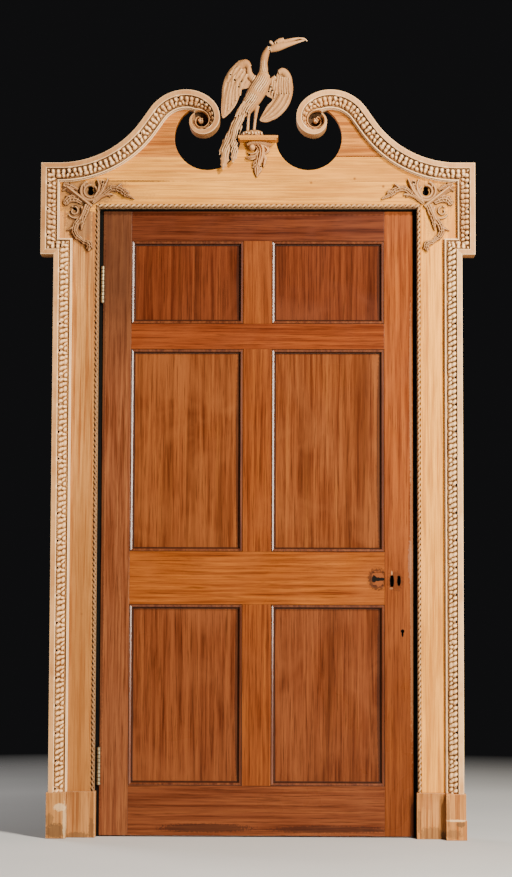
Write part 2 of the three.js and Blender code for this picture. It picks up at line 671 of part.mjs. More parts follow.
const bird = unite([
  limb([[21, 2600, 20, 18], [9, 2564, 30, 25], [-9, 2530, 31, 25], [-28, 2497, 27, 21], [-46, 2468, 20, 14]], 7, 4),
  limb([[17, 2584, 20, 17], [19, 2619, 14, 13], [20, 2648, 13, 12], [26, 2671, 12, 11], [37, 2694, 7, 8]], 6, 4),
  limb([[38, 2686, 11, 9], [66, 2693, 15, 12], [100, 2703, 10, 8], [133, 2713, 5, 4], [154, 2719, 2, 2]], 5, 4),
  limb([[58, 2704, 8, 7], [72, 2713, 10, 9], [88, 2719, 8, 7]], 5, 2),
  limb([[88, 2712, 7, 6], [116, 2719, 6, 5], [140, 2723, 4, 4], [158, 2721, 3, 3], [168, 2714, 1.5, 1.5]], 4, 4),
  limb([[50, 2703, 4, 4], [43, 2710, 6, 6], [39, 2715, 3, 3]], 4, 2),
  limb([[-30, 2482, 7, 7], [-34, 2441, 5, 5], [-36, 2394, 5, 5]], 5, 2),
  limb([[-4, 2486, 8, 8], [-10, 2441, 5, 5], [-15, 2394, 5, 5]], 5, 2),
  wing(leftWing, -1, 10),
  wing(rightWing, -1, 10),
  feather([[-44, 2640, 9, 7, 0], [-90, 2590, 11, 8, -1], [-113, 2530, 10, 7, -1], [-120, 2455, 3, 3, 0]], 4),
  feather([[-40, 2622, 11, 8, -1], [-76, 2570, 14, 9, -3], [-96, 2510, 10, 8, -2], [-112, 2462, 3, 3, 0]], 4),
  feather([[82, 2610, 9, 7, 0], [106, 2566, 11, 8, -1], [92, 2492, 12, 8, -1], [24, 2438, 4, 4, 0]], 4),
  feather([[72, 2602, 9, 7, -1], [86, 2550, 13, 9, -3], [68, 2496, 10, 8, -2], [14, 2441, 4, 4, 0]], 4),
  feather([[-30, 2500, 19, 11], [-62, 2454, 19, 11], [-84, 2408, 19, 10], [-108, 2352, 16, 8, -2],
    [-115, 2305, 15, 7, -2], [-121, 2270, 4, 4, -2]], 5),
  feather([[-36, 2490, 16, 10, -5], [-66, 2436, 17, 9, -7], [-84, 2380, 13, 8, -7], [-80, 2334, 14, 7, -5],
    [-86, 2292, 3, 3, -3]], 4),
  feather([[-38, 2478, 11, 8, 2], [-56, 2438, 9, 7, 2], [-63, 2388, 2, 2, 0]], 3),
  feather([[-58, 2462, 10, 8, 6], [-98, 2396, 11, 8, 6], [-124, 2340, 9, 6, 5], [-132, 2318, 2, 2, 4]], 3),
  ball(-32, BIRD_Y, 2387, 28, 23, 14, 7, 4),
  ball(-8, BIRD_Y - 4, 2388, 25, 21, 15, 7, 4),
]);
const aboveCap = boxSolid(-45, 60, -150, 60, MOUND_Z, 2900);
const besideCap = boxSolid(-300, -CAP_HALF - 2, -150, 60, 2200, 2900);
const betweenCap = boxSolid(-CAP_HALF - 3, -44, -150, 60, MOUND_Z, 2900);
const birdRoom = unite([aboveCap, besideCap, betweenCap, boxSolid(55, 300, -150, 60, 2400, 2900)]);
add('phoenix', 'carving', largest(bird.intersect(birdRoom)));

// Rebated lining round the door
const liningOut = LINING_FACE + LINING_THICK;
const stopAt = DOOR_FRONT + DOOR_THICK + 1;
const liningSide = boxSolid(LINING_FACE, liningOut, GAP, LINING_DEPTH, 0, LINING_HEAD - GAP)
  .add(boxSolid(LINING_FACE - STOP_STEP, liningOut, stopAt, LINING_DEPTH, 0, LINING_HEAD - STOP_STEP - GAP));
add('lining_right', 'lining', liningSide);
const liningTop = LINING_HEAD + LINING_THICK;
const liningHead = boxSolid(-liningOut, liningOut, GAP, LINING_DEPTH, LINING_HEAD, liningTop)
  .add(boxSolid(-LINING_FACE + GAP, LINING_FACE - GAP, stopAt, LINING_DEPTH, LINING_HEAD - STOP_STEP, liningTop));
add('lining_head', 'lining', liningHead);

// Butt hinges: a leaf let into the lining, holding the pin, and a leaf let into the door
const KNUCKLES = 5;
const HINGE_SIDES = 6;
const KNUCKLE_ROOM = (KNUCKLE_RADIUS + GAP) / Math.cos(Math.PI / HINGE_SIDES);
const knuckleLength = HINGE_LENGTH / KNUCKLES;
const frameX = [-LINING_FACE - LEAF_THICK, -LINING_FACE - 0.1];
const doorX = [-DOOR_HALF + 0.1, -DOOR_HALF + LEAF_THICK];

function hingeLeaf(centre, xs, odd) {
  const low = centre - HINGE_LENGTH / 2;
  let plateSolid = boxSolid(xs[0], xs[1], PIN_Y, LEAF_REACH, low, low + HINGE_LENGTH);
  for (let k = 0; k < KNUCKLES; k += 1) {
    const z0 = low + k * knuckleLength;
    const mine = (k % 2 === 1) === odd;
    const ease = mine ? 0.25 : -0.25;
    const radius = mine ? KNUCKLE_RADIUS : KNUCKLE_ROOM;
    const barrel = uprightBar(PIN_X, PIN_Y, radius, z0 + ease, z0 + knuckleLength - ease, HINGE_SIDES);
    plateSolid = mine ? plateSolid.add(barrel) : plateSolid.subtract(barrel);
  }
  const bore = odd ? PIN_BORE : PIN_RADIUS;
  const end = odd ? 5 : -1;
  const pin = uprightBar(PIN_X, PIN_Y, bore, low - end, low + HINGE_LENGTH + end, HINGE_SIDES);
  return odd ? plateSolid.subtract(pin) : plateSolid.add(pin);
}

function pocket(centre, xs) {
  const half = HINGE_LENGTH / 2 + GAP;
  return boxSolid(xs[0] - GAP, xs[1] + GAP, -20, LEAF_REACH + GAP, centre - half, centre + half);
}

let liningLeft = solidOf(mirrored(geometryOf(liningSide)));
for (const [name, centre] of Object.entries(HINGE_CENTRES)) {
  liningLeft = liningLeft.subtract(pocket(centre, [frameX[0], frameX[1] + 5]));
  add(`hinge_frame_leaf_${name}`, 'brass', largest(hingeLeaf(centre, frameX, false)));
  add(`hinge_door_leaf_${name}`, 'brass', largest(hingeLeaf(centre, doorX, true)));
}
add('lining_left', 'lining', liningLeft);

// Door: stiles, rails, muntins, sunk panels and the mouldings planted round them
const doorBack = DOOR_FRONT + DOOR_THICK;
const stileInner = DOOR_HALF - STILE;
const seam = GAP / 2;
let hingeStile = boxSolid(-DOOR_HALF, -stileInner - seam, DOOR_FRONT, doorBack, DOOR_BOTTOM, DOOR_TOP);
for (const centre of Object.values(HINGE_CENTRES)) {
  hingeStile = hingeStile.subtract(pocket(centre, [doorX[0] - 5, doorX[1]]));
}
add('door_stile_hinge', 'mahogany', hingeStile);

// Marks of a lost lock: two mortised slots and a keyhole in the stile, a worn scar on the rail
const lockStile = boxSolid(stileInner + seam, DOOR_HALF, DOOR_FRONT, doorBack, DOOR_BOTTOM, DOOR_TOP)
  .subtract(boxSolid(454, 464, -10, 30, 843, 881))
  .subtract(boxSolid(478, 487, -10, 30, 848, 879))
  .subtract(roundBar(495, 692, 5, -10, 30, 12))
  .subtract(boxSolid(492.5, 497.5, -10, 30, 677, 692));
add('door_stile_lock', 'mahogany', lockStile);

for (const [name, [z0, z1]] of Object.entries(RAILS)) {
  let rail = boxSolid(-stileInner + seam, stileInner - seam, DOOR_FRONT, doorBack, z0, z1);
  if (name === 'lock') {
    rail = rail.subtract(boxSolid(392, stileInner + 5, -10, DOOR_FRONT + 2.5, 843, 892));
  }
  add(`door_rail_${name}`, 'mahogany', rail);
}

const bays = {
  bottom: [RAILS.bottom[1], RAILS.lock[0]],
  middle: [RAILS.lock[1], RAILS.frieze[0]],
  top: [RAILS.frieze[1], RAILS.top[0]],
};

// Mitred ring round a panel: square at the frame, falling to the panel at its inner edge
function panelMoulding(x0, x1, z0, z1) {
  const lip = 3.5;
  const rings = [[0, PANEL_RECESS - GAP], [0, 2], [lip, 1], [BOLECTION - 3, 9], [BOLECTION, 10], [BOLECTION, PANEL_RECESS - GAP]];
  const loops = rings.map(([inset, y]) => [
    [x0 + inset, z0 + inset], [x1 - inset, z0 + inset], [x1 - inset, z1 - inset], [x0 + inset, z1 - inset],
  ].map(([x, z]) => new THREE.Vector3(x, DOOR_FRONT + y, z)));
  const corners = [];
  loops.forEach((loop, k) => {
    const next = loops[(k + 1) % loops.length];
    for (let i = 0; i < 4; i += 1) {
      const j = (i + 1) % 4;
      corners.push(loop[i], next[i], loop[j], loop[j], next[i], next[j]);
    }
  });
  return closedFrom(corners);
}

for (const [bay, [z0, z1]] of Object.entries(bays)) {
  add(`door_muntin_${bay}`, 'mahogany',
    box(-MUNTIN_HALF, MUNTIN_HALF, DOOR_FRONT, doorBack, z0 + GAP, z1 - GAP));
  for (const [side, sign] of [['left', -1], ['right', 1]]) {
    const ends = [sign * (MUNTIN_HALF + GAP), sign * (stileInner - GAP)].sort((a, b) => a - b);
    const panelFront = DOOR_FRONT + PANEL_RECESS;
    add(`door_panel_${bay}_${side}`, 'mahogany',
      box(ends[0], ends[1], panelFront, panelFront + PANEL_THICK, z0 + GAP, z1 - GAP));
    add(`door_moulding_${bay}_${side}`, 'mahogany', panelMoulding(ends[0], ends[1], z0 + GAP, z1 - GAP));
  }
}

export default group;
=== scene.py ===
import math

import bmesh
import bpy
import numpy as np
from mathutils import Matrix, Vector


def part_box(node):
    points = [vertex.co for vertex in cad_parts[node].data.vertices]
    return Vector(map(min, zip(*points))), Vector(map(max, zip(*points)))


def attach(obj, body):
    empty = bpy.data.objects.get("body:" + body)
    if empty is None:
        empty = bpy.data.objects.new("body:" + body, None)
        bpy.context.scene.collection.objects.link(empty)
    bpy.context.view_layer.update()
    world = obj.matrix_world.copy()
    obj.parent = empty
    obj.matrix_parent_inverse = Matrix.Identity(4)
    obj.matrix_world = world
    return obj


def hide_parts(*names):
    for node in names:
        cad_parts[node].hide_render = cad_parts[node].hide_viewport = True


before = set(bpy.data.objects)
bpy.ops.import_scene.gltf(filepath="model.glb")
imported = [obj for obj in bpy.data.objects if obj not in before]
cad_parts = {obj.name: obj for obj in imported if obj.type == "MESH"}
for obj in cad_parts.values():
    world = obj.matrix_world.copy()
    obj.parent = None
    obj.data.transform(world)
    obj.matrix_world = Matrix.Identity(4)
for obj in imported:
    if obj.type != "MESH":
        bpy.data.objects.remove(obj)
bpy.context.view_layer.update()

# Points and sizes below are millimetres, with heights counted from the floor.
MM = 0.001
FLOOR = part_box("plinth_outer_left")[0].z


def span(node, axis):
    """Lowest and highest place of a solid along one axis, in millimetres, heights from the floor."""
    low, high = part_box(node)
    lift = FLOOR if axis == 2 else 0.0
    return (low[axis] - lift) / MM, (high[axis] - lift) / MM


# Driving sizes, read from the solids
JAMB_OUTER = span("backband_jamb_right", 0)[1]
JAMB_FOOT = span("backband_jamb_right", 2)[0]
BAND_WIDTH = JAMB_OUTER - span("backband_jamb_right", 0)[0]
EAR_OUTER = span("ear_side_right", 0)[1]
EAR_BOTTOM = span("ear_return_right", 2)[0]
EAR_TOP = span("swan_neck_right", 2)[0] + BAND_WIDTH
FASCIA_DEPTH = -span("ear_side_right", 1)[0]
BOARD_THICK = -span("jamb_board_right", 1)[0]
ROPE_OUTER = span("rope_jamb_right", 0)[1]
ROPE_TOP = span("rope_head", 2)[1]
CAP_TOP = span("pedestal_cap", 2)[1]
DOOR_FRONT = span("door_stile_lock", 1)[0]

# Backband profile across its width, from the outer edge inwards
FASCIA_WIDTH = 18.5
FILLET_WIDTH = 6.8
FILLET_DEPTH = 50.0
STEP_WIDTH = 2.5
STEP_DEPTH = 41.0
STATION = 1.9

# Meshes


def mesh_of(name, points, faces, sharp):
    """A closed mesh with outward faces, smooth where its faces meet below the sharp angle."""
    places = np.asarray(points, float) * MM
    places[:, 2] += FLOOR
    mesh = bpy.data.meshes.new(name)
    mesh.from_pydata(places.tolist(), [], faces)
    work = bmesh.new()
    work.from_mesh(mesh)
    bmesh.ops.recalc_face_normals(work, faces=work.faces)
    work.to_mesh(mesh)
    work.free()
    mesh.shade_smooth()
    mesh.set_sharp_from_angle(angle=math.radians(sharp))
    return mesh


def joined(shells):
    """Points and faces of several shells as one list."""
    points, faces, count = [], [], 0
    for shell_points, shell_faces in shells:
        points.append(np.asarray(shell_points, float))
        faces.extend([[index + count for index in face] for face in shell_faces])
        count += len(shell_points)
    return np.concatenate(points), faces


def flipped(shells):
    """The same shells on the other side of the centre line."""
    return [(np.asarray(points, float) * (-1, 1, 1), faces) for points, faces in shells]


def loft(rows):
    """A closed shell from rows of points, joined row to row round a ring and capped at both ends."""
    count, stations = rows.shape[:2]
    index = np.arange(count * stations).reshape(count, stations)
    after = np.roll(index, -1, axis=0)
    quads = np.stack([index[:, :-1], index[:, 1:], after[:, 1:], after[:, :-1]], axis=-1)
    faces = quads.reshape(-1, 4).tolist()
    faces.append(index[:, 0].tolist())
    faces.append(index[::-1, -1].tolist())
    return rows.reshape(-1, 3), faces


def read(group, field, width):
    values = np.empty(len(group) * width, np.float64 if width == 3 else np.int64)
    group.foreach_get(field, values)
    return values.reshape(-1, width)


def points_of(mesh):
    return read(mesh.vertices, "co", 3), read(mesh.vertices, "normal", 3)


def move(mesh, places):
    mesh.vertices.foreach_set("co", places.ravel())
    mesh.update()


def beside(places, x, height):
    """Distance of points from a place, as seen from the front."""
    return np.hypot(places[:, 0] - x * MM, places[:, 2] - FLOOR - height * MM)


def spread(edges, degree, values):
    """One smoothing pass over a mesh: each point moves half way to the mean of its neighbours."""
    total = np.empty_like(values)
    ends = np.concatenate([edges[:, 0], edges[:, 1]])
    others = np.concatenate([edges[:, 1], edges[:, 0]])
    for axis in range(values.shape[1]):
        total[:, axis] = np.bincount(ends, weights=values[others, axis], minlength=len(values))
    return 0.5 * values + 0.5 * total / np.maximum(degree, 1)[:, None]


def neighbours(mesh):
    edges = read(mesh.edges, "vertices", 2)
    return edges, np.bincount(edges.ravel(), minlength=len(mesh.vertices))


def store_cut(mesh, depth):
    cut = mesh.attributes.new("cut", "FLOAT", "POINT")
    cut.data.foreach_set("value", np.clip(depth, -1.0, 1.0).astype(np.float32))


PLAIN_DIRT = 0.12


def mark_cuts(mesh, passes, reach, foot=None, hollows=(), plain=0.0):
    """Stores how far each point lies below its surroundings, so that cuts darken with painted shade and dirt
    and crests pale with painted highlight and wear.

    Hollows seen from the front, given by x, height, radius and a depth that they lie behind, count as cuts
    too, and so does the lowest part of a relief on a board when it has a foot; both take painted shade.
    Sides and back are plain."""
    places, normals = points_of(mesh)
    edges, degree = neighbours(mesh)
    smooth = places
    for _ in range(passes):
        smooth = spread(edges, degree, smooth)
    depth = ((smooth - places) * normals).sum(axis=1) / (reach * MM)
    depth = np.where(places[:, 1] > -plain * MM, PLAIN_DIRT, depth)
    # Painted shade at the foot of a relief, where it meets the board
    if foot:
        depth = np.maximum(depth, 1 - (-places[:, 1] / MM - BOARD_THICK) / foot)
    # Painted shade filling the drilled and sunk hollows
    for x, height, radius, behind in hollows:
        inside = (beside(places, x, height) < radius * MM) & (places[:, 1] > -behind * MM)
        inside &= normals[:, 1] < 0.3
        depth = np.where(inside, 1.0, depth)
    store_cut(mesh, depth)


def place_piece(name, mesh, material, body, nodes):
    piece = bpy.data.objects.new(name, mesh)
    bpy.context.scene.collection.objects.link(piece)
    mesh.materials.clear()
    mesh.materials.append(material)
    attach(piece, body)
    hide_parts(*nodes)
    return piece


def fused(name, shells, voxel, passes):
    """Shells grown together into one skin by voxels, then eased."""
    points, faces = joined(shells)
    rough = bpy.data.objects.new(name, mesh_of(name + "_rough", points, faces, 180))
    bpy.context.scene.collection.objects.link(rough)
    remesh = rough.modifiers.new("grow", "REMESH")
    remesh.mode = "VOXEL"
    remesh.voxel_size = voxel * MM
    bpy.context.view_layer.update()
    graph = bpy.context.evaluated_depsgraph_get()
    mesh = bpy.data.meshes.new_from_object(rough.evaluated_get(graph))
    bpy.data.objects.remove(rough)
    edges, degree = neighbours(mesh)
    places = read(mesh.vertices, "co", 3)
    for _ in range(passes):
        places = spread(edges, degree, places)
    move(mesh, places)
    mesh.shade_smooth()
    return mesh


HOLE_WALL = 1.6
HOLE_RIM = 1.15
ANY_DEPTH = 200.0


def drill(mesh, holes):
    """Sinks round holes, by x, height, radius and depth, into the front of a skin; returns hollows."""
    places, normals = points_of(mesh)
    for x, height, radius, depth in holes:
        away = beside(places, x, height) / (radius * MM)
        share = np.clip(HOLE_WALL - HOLE_WALL * away, 0.0, 1.0) * (normals[:, 1] < 0.2)
        places[:, 1] += share * depth * MM
    move(mesh, places)
    return [(x, height, HOLE_RIM * radius, ANY_DEPTH) for x, height, radius, _ in holes]


# Curves


def through(knots, steps):
    """A smooth curve through knots: every column is carried along."""
    knots = np.asarray(knots, float)
    padded = np.concatenate([2 * knots[:1] - knots[1:2], knots, 2 * knots[-1:] - knots[-2:-1]])
    place = np.linspace(0, len(knots) - 1, steps + 1)
    low = np.minimum(place.astype(int), len(knots) - 2)
    t = (place - low)[:, None]
    a, b, c, d = (padded[low + k] for k in range(4))
    return 0.5 * (2 * b + (c - a) * t + (2 * a - 5 * b + 4 * c - d) * t**2 + (3 * b - a - 3 * c + d) * t**3)


def sweep(knots, section, steps):
    """A shell along knots of x, y, height, half width and rise, with its front turned to the viewer."""
    line = through(knots, steps)
    along = np.gradient(line[:, :3], axis=0)
    along /= np.linalg.norm(along, axis=1)[:, None]
    front = np.array([0.0, -1.0, 0.0]) + along * along[:, 1:2]
    front /= np.linalg.norm(front, axis=1)[:, None]
    side = np.cross(along, front)
    rows = []
    for wide, high in section:
        a = np.maximum(line[:, 3:4], 0.4) * wide
        b = np.maximum(line[:, 4:5], 0.4) * high
        rows.append(line[:, :3] + side * a + front * b)
    return loft(np.stack(rows))


def leaf_section(ribs, groove, points=17, sink=0.12):
    """Flat-backed leaf with rounded ribs along it."""
    q = np.linspace(1, -1, points)
    crest = 0.5 + 0.5 * np.cos(2 * np.pi * ribs * q)
    high = np.sqrt(np.clip(1 - q**2, 0, 1)) * (1 - groove * (1 - crest))
    return [(a, b - sink) for a, b in zip(q, high)] + [(-1, -sink - 0.1), (1, -sink - 0.1)]


def round_section(points=18):
    turn = np.linspace(0, 2 * np.pi, points, endpoint=False)
    return list(zip(np.cos(turn), np.sin(turn)))


def vane_section(points=9):
    """A feather: thin at its edges with a raised quill on both faces."""
    q = np.linspace(1, -1, points)
    high = 0.72 * np.sqrt(np.clip(1 - q**2, 0, 1)) + 0.28 * np.exp(-((q / 0.2) ** 2))
    front = list(zip(q, high))
    back = [(a, -b) for a, b in reversed(front[1:-1])]
    return front + back


RIBBED = leaf_section(1.5, 0.45)
VEINED = leaf_section(1.0, 0.4)
PLAIN = leaf_section(0.0, 0.0)
ROUND = round_section()
VANE = vane_section()


def toothed(knots, teeth, depth, steps):
    """Knots of a leaf whose edge runs in and out, as many times as it has teeth."""
    line = through(knots, steps)
    t = np.linspace(0, 1, steps + 1)
    wave = 1 - depth * np.abs(np.sin(np.pi * teeth * t)) ** 0.7
    line[:, 3] *= wave
    return line


def ridge(knots, section, density, teeth=0, depth=0.0):
    """A shell along knots, with an edge that is smooth or toothed."""
    steps = density * (len(knots) - 1)
    line = toothed(knots, teeth, depth, steps) if teeth else through(knots, steps)
    return sweep(line, section, steps)


def curl_knots(y, centre, radii, turns, halves, rise, count=14):
    turn = np.radians(np.linspace(*turns, count))
    radius = np.linspace(*radii, count)
    half = np.linspace(*halves, count)
    x = centre[0] + radius * np.cos(turn)
    z = centre[1] + radius * np.sin(turn)
    return np.stack([x, np.full(count, y), z, half, np.full(count, rise)], axis=1)


def egg(centre, radii, around=28, down=16):
    """An ellipsoid as a shell of rings."""
    polar = np.linspace(0.04, np.pi - 0.04, down)
    turn = np.linspace(0, 2 * np.pi, around, endpoint=False)
    ring = np.stack([np.outer(np.cos(turn), np.sin(polar)), np.outer(np.sin(turn), np.sin(polar)),
                     np.outer(np.ones(around), np.cos(polar))], axis=-1)
    return loft(np.asarray(centre) + ring * np.asarray(radii))


def prism(outline, front, back):
    """An outline of x and height, given depth."""
    outline = np.asarray(outline, float)
    rows = [np.insert(outline, 1, y, axis=1) for y in (front, back)]
    return loft(np.stack(rows, axis=1))


# Material recipes


NOWHERE = (0.0, 0.0, 0.0)


class Recipe:
    """A node material that is put together step by step."""

    def __init__(self, name, gloss):
        self.material = bpy.data.materials.new(name)
        self.material.use_nodes = True
        self.tree = self.material.node_tree
        self.shader = self.tree.nodes["Principled BSDF"]
        for key, value in gloss.items():
            self.shader.inputs[key].default_value = value
        coordinates = self.node("ShaderNodeTexCoord")
        self.place = coordinates.outputs["Object"]
        self.normal = coordinates.outputs["Normal"]

    def node(self, kind, inputs=(), **settings):
        made = self.tree.nodes.new(kind)
        for key, value in settings.items():
            setattr(made, key, value)
        for key, value in dict(inputs).items():
            self.put(made.inputs[key], value)
        return made

    def put(self, socket, value):
        if isinstance(value, bpy.types.NodeSocket):
            self.tree.links.new(value, socket)
        else:
            socket.default_value = value

    def vector(self, operation, *values):
        made = self.node("ShaderNodeVectorMath", enumerate(values), operation=operation)
        return made.outputs["Value" if operation in ("LENGTH", "DOT_PRODUCT") else "Vector"]

    def math(self, operation, *values):
        return self.node("ShaderNodeMath", enumerate(values), operation=operation).outputs[0]

    def axis(self, vector, name):
        return self.node("ShaderNodeSeparateXYZ", {"Vector": vector}).outputs[name]

    def mapped(self, scale, shift, turn=NOWHERE):
        """The place on the part, with a scale for each axis in cells a metre."""
        inputs = {"Vector": self.place, "Location": shift, "Rotation": turn, "Scale": scale}
        return self.node("ShaderNodeMapping", inputs).outputs["Vector"]

    def noise(self, scale, detail, rough, twist=0.0, shift=NOWHERE, turn=NOWHERE):
        inputs = {"Vector": self.mapped(scale, shift, turn), "Scale": 1.0, "Detail": detail,
                  "Roughness": rough, "Distortion": twist}
        return self.node("ShaderNodeTexNoise", inputs).outputs["Fac"]

    def ramp(self, factor, stops):
        made = self.node("ShaderNodeValToRGB", {"Fac": factor})
        elements = made.color_ramp.elements
        while len(elements) < len(stops):
            elements.new(1.0)
        for element, (place, colour) in zip(elements, stops):
            element.position = place
            element.color = (*colour, 1.0)
        return made.outputs["Color"]

    def mix(self, factor, first, second):
        made = self.node("ShaderNodeMix", {0: factor}, data_type="RGBA")
        for socket, value in zip(made.inputs[6:8], (first, second)):
            self.put(socket, value if isinstance(value, bpy.types.NodeSocket) else (*value, 1.0))
        return made.outputs[2]

    def remap(self, value, low, high, to_low=0.0, to_high=1.0):
        inputs = {"Value": value, "From Min": low, "From Max": high, "To Min": to_low, "To Max": to_high}
        return self.node("ShaderNodeMapRange", inputs).outputs["Result"]

    def over(self, tone, factor, low, high, share, colour):
        """Lays a colour over a tone: none where the factor is low, a share of it where the factor is high."""
        return self.mix(self.remap(factor, low, high, 0.0, share), tone, colour)

    def lowered(self, tone, top, bottom, share, colour):
        """Lays a colour over a tone, growing to a share from one height to another."""
        height = self.axis(self.place, "Z")
        return self.over(tone, height, FLOOR + top * MM, FLOOR + bottom * MM, share, colour)

    def cut(self):
        """How deep a point lies in a cut, from the carved mesh."""
        return self.node("ShaderNodeAttribute", attribute_name="cut").outputs["Fac"]

    def rubbed(self, tone, radius, share, colour):
        """Lays a colour along worn edges, as far from them as the radius."""
        eased = self.node("ShaderNodeBevel", {"Radius": radius * MM}, samples=4).outputs["Normal"]
        same = self.vector("DOT_PRODUCT", eased, self.node("ShaderNodeNewGeometry").outputs["Normal"])
        return self.mix(self.math("MULTIPLY", self.remap(same, 0.995, 0.90), share), tone, colour)

    def spots(self, scale, size, share, seed):
        """Scattered round spots, such as knots: cells a metre, share of a cell, how many."""
        spot = self.mapped((scale, 0.0, scale), (seed, 0.0, seed * 1.7))
        cells = self.node("ShaderNodeTexVoronoi", {"Vector": spot, "Scale": 1.0})
        near = self.remap(cells.outputs["Distance"], size, size * 0.35)
        pick = self.node("ShaderNodeSeparateColor", {"Color": cells.outputs["Color"]})
        return self.math("MULTIPLY", near, self.math("GREATER_THAN", pick.outputs["Red"], 1 - share))

    def patch(self, x, height, half_x, half_z, ragged):
        """A patch on the front: its middle and half sizes in millimetres, and how ragged its edge is."""
        shifted = self.vector("SUBTRACT", self.place, (x * MM, 0.0, FLOOR + height * MM))
        scale = (1 / (half_x * MM), 0.0, 1 / (half_z * MM))
        reach = self.vector("LENGTH", self.vector("MULTIPLY", shifted, scale))
        if ragged:
            edge = self.noise((150.0, 150.0, 150.0), 3.0, 0.6)
            reach = self.math("ADD", reach, self.remap(edge, 0.0, 1.0, -ragged, ragged))
        front = self.remap(self.axis(self.normal, "Y"), 0.6, 0.4)
        return self.math("MULTIPLY", front, self.remap(reach, 1.12, 0.92))

    def marked(self, tone, marks):
        """Marks painted over a tone: middle, half sizes, raggedness, colour and strength of each."""
        for *shape, colour, strength in marks:
            tone = self.mix(self.math("MULTIPLY", self.patch(*shape), strength), tone, colour)
        return tone

    def bump(self, height, strength, distance):
        inputs = {"Strength": strength, "Distance": distance * MM, "Height": height}
        self.put(self.shader.inputs["Normal"], self.node("ShaderNodeBump", inputs).outputs["Normal"])

    def done(self, colour, roughness=None):
        self.put(self.shader.inputs["Base Color"], colour)
        if roughness is not None:
            self.put(self.shader.inputs["Roughness"], roughness)
        return self.material


# Grain is drawn out along one axis
DRAWN_OUT = 0.026
ALONG = {"x": (DRAWN_OUT, 1.0, 1.0), "z": (1.0, 1.0, DRAWN_OUT)}


def grain_of(axis, cells):
    return tuple(cells * share for share in ALONG[axis])


def drift_of(seed):
    return (seed, seed * 0.7, seed * 1.3)


def shade(colour, share):
    """A colour whose channels are multiplied by one share, or each by its own."""
    return tuple(np.multiply(colour, share).tolist())


def dulled(colour):
    """The greyer, darker brown laid on a stile as painted shade, where it catches less sheen."""
    return tuple(0.004 + 0.27 * channel for channel in colour)


def worn(colour):
    """The paler colour of a rubbed edge."""
    return tuple(min(0.9, 0.05 + 1.25 * channel) for channel in colour)


# Brown for painted shade, with dirt, in the cuts of the carving
CUT_DIRT_AND_SHADE = (0.034, 0.017, 0.008)
# Black painted shade inside sunk holes, the keyhole and the slots of the lost lock
PAINTED_HOLE_SHADE = (0.003, 0.002, 0.001)
# Grime, also laid as painted shade in the moulding hollows and along the panels' right edges
GRIME_AND_SHADE = (0.020, 0.007, 0.004)
# Cream for painted highlight, with wear, on the crests of the carving
CREST_WEAR_AND_HIGHLIGHT = (0.88, 0.62, 0.36)
BARE_WOOD = {"Specular IOR Level": 0.12}


def pine(name, colour, axis, seed, knots=0.55, stain=0.3, wear=0.6, streak=1.0, low=None, marks=()):
    """Stripped pine: soft stripes along the grain, warm patches, knots, fine fibres and pale arrises."""
    made = Recipe(name, BARE_WOOD)
    shift = drift_of(seed)
    stripes = made.noise(grain_of(axis, 90.0), 4.0, 0.66, 0.1, shift)
    wide = made.noise(grain_of(axis, 17.0), 2.0, 0.5, 0.2, shift)
    fibres = made.noise(grain_of(axis, 260.0), 3.0, 0.65, 0.0, shift)
    patches = made.noise((3.1, 3.1, 2.3), 4.0, 0.55, 0.3, shift)
    warm = tuple(c * max(0.2, 1 - streak * loss) for c, loss in zip(colour, (0.34, 0.45, 0.52)))
    tone = made.ramp(stripes, [(0.38, warm), (0.51, colour), (0.62, shade(colour, 1.16))])
    tone = made.over(tone, wide, 0.46, 0.68, 0.5, warm)
    tone = made.over(tone, patches, 0.48, 0.70, stain, shade(warm, 0.55))
    tone = made.over(tone, fibres, 0.46, 0.62, 0.42, shade(warm, 0.55))
    # Painted shade, darkening from one height to another where low is given
    if low:
        tone = made.lowered(tone, *low, shade(warm, 0.8))
    spots = made.math("MULTIPLY", made.spots(9.0, 0.06, knots, seed), 0.8)
    tone = made.mix(spots, tone, shade(colour, (0.24, 0.17, 0.17)))
    tone = made.marked(made.rubbed(tone, 3.0, wear, worn(colour)), marks)
    made.bump(made.mix(0.5, stripes, fibres), 0.3, 0.5)
    return made.done(tone, made.remap(patches, 0.3, 0.7, 0.58, 0.78))


def carved_pine(name, colour, seed, shade_and_dirt, crest):
    """Carved pine: brown in the cuts from painted shade and dirt, cream on the crests from painted highlight
    and wear, with fibres and patches.
    """
    made = Recipe(name, BARE_WOOD)
    shift = drift_of(seed)
    cut = made.cut()
    fibres = made.noise(grain_of("z", 300.0), 3.0, 0.6, 0.2, shift)
    patches = made.noise((9.0, 9.0, 9.0), 4.0, 0.6, 0.2, shift)
    warm = shade(colour, (0.76, 0.66, 0.55))
    tone = made.ramp(patches, [(0.34, warm), (0.52, colour), (0.70, shade(colour, 1.08))])
    tone = made.over(tone, fibres, 0.40, 0.62, 0.3, shade(warm, 0.62))
    # Painted highlight, with wear, on the crests
    tone = made.over(tone, cut, -0.14, -0.60, crest, CREST_WEAR_AND_HIGHLIGHT)
    # Painted shade, with dirt, in the cuts
    tone = made.over(tone, cut, 0.04, 0.52, shade_and_dirt, CUT_DIRT_AND_SHADE)
    made.bump(fibres, 0.22, 0.5)
    return made.done(tone, made.remap(patches, 0.3, 0.7, 0.5, 0.7))


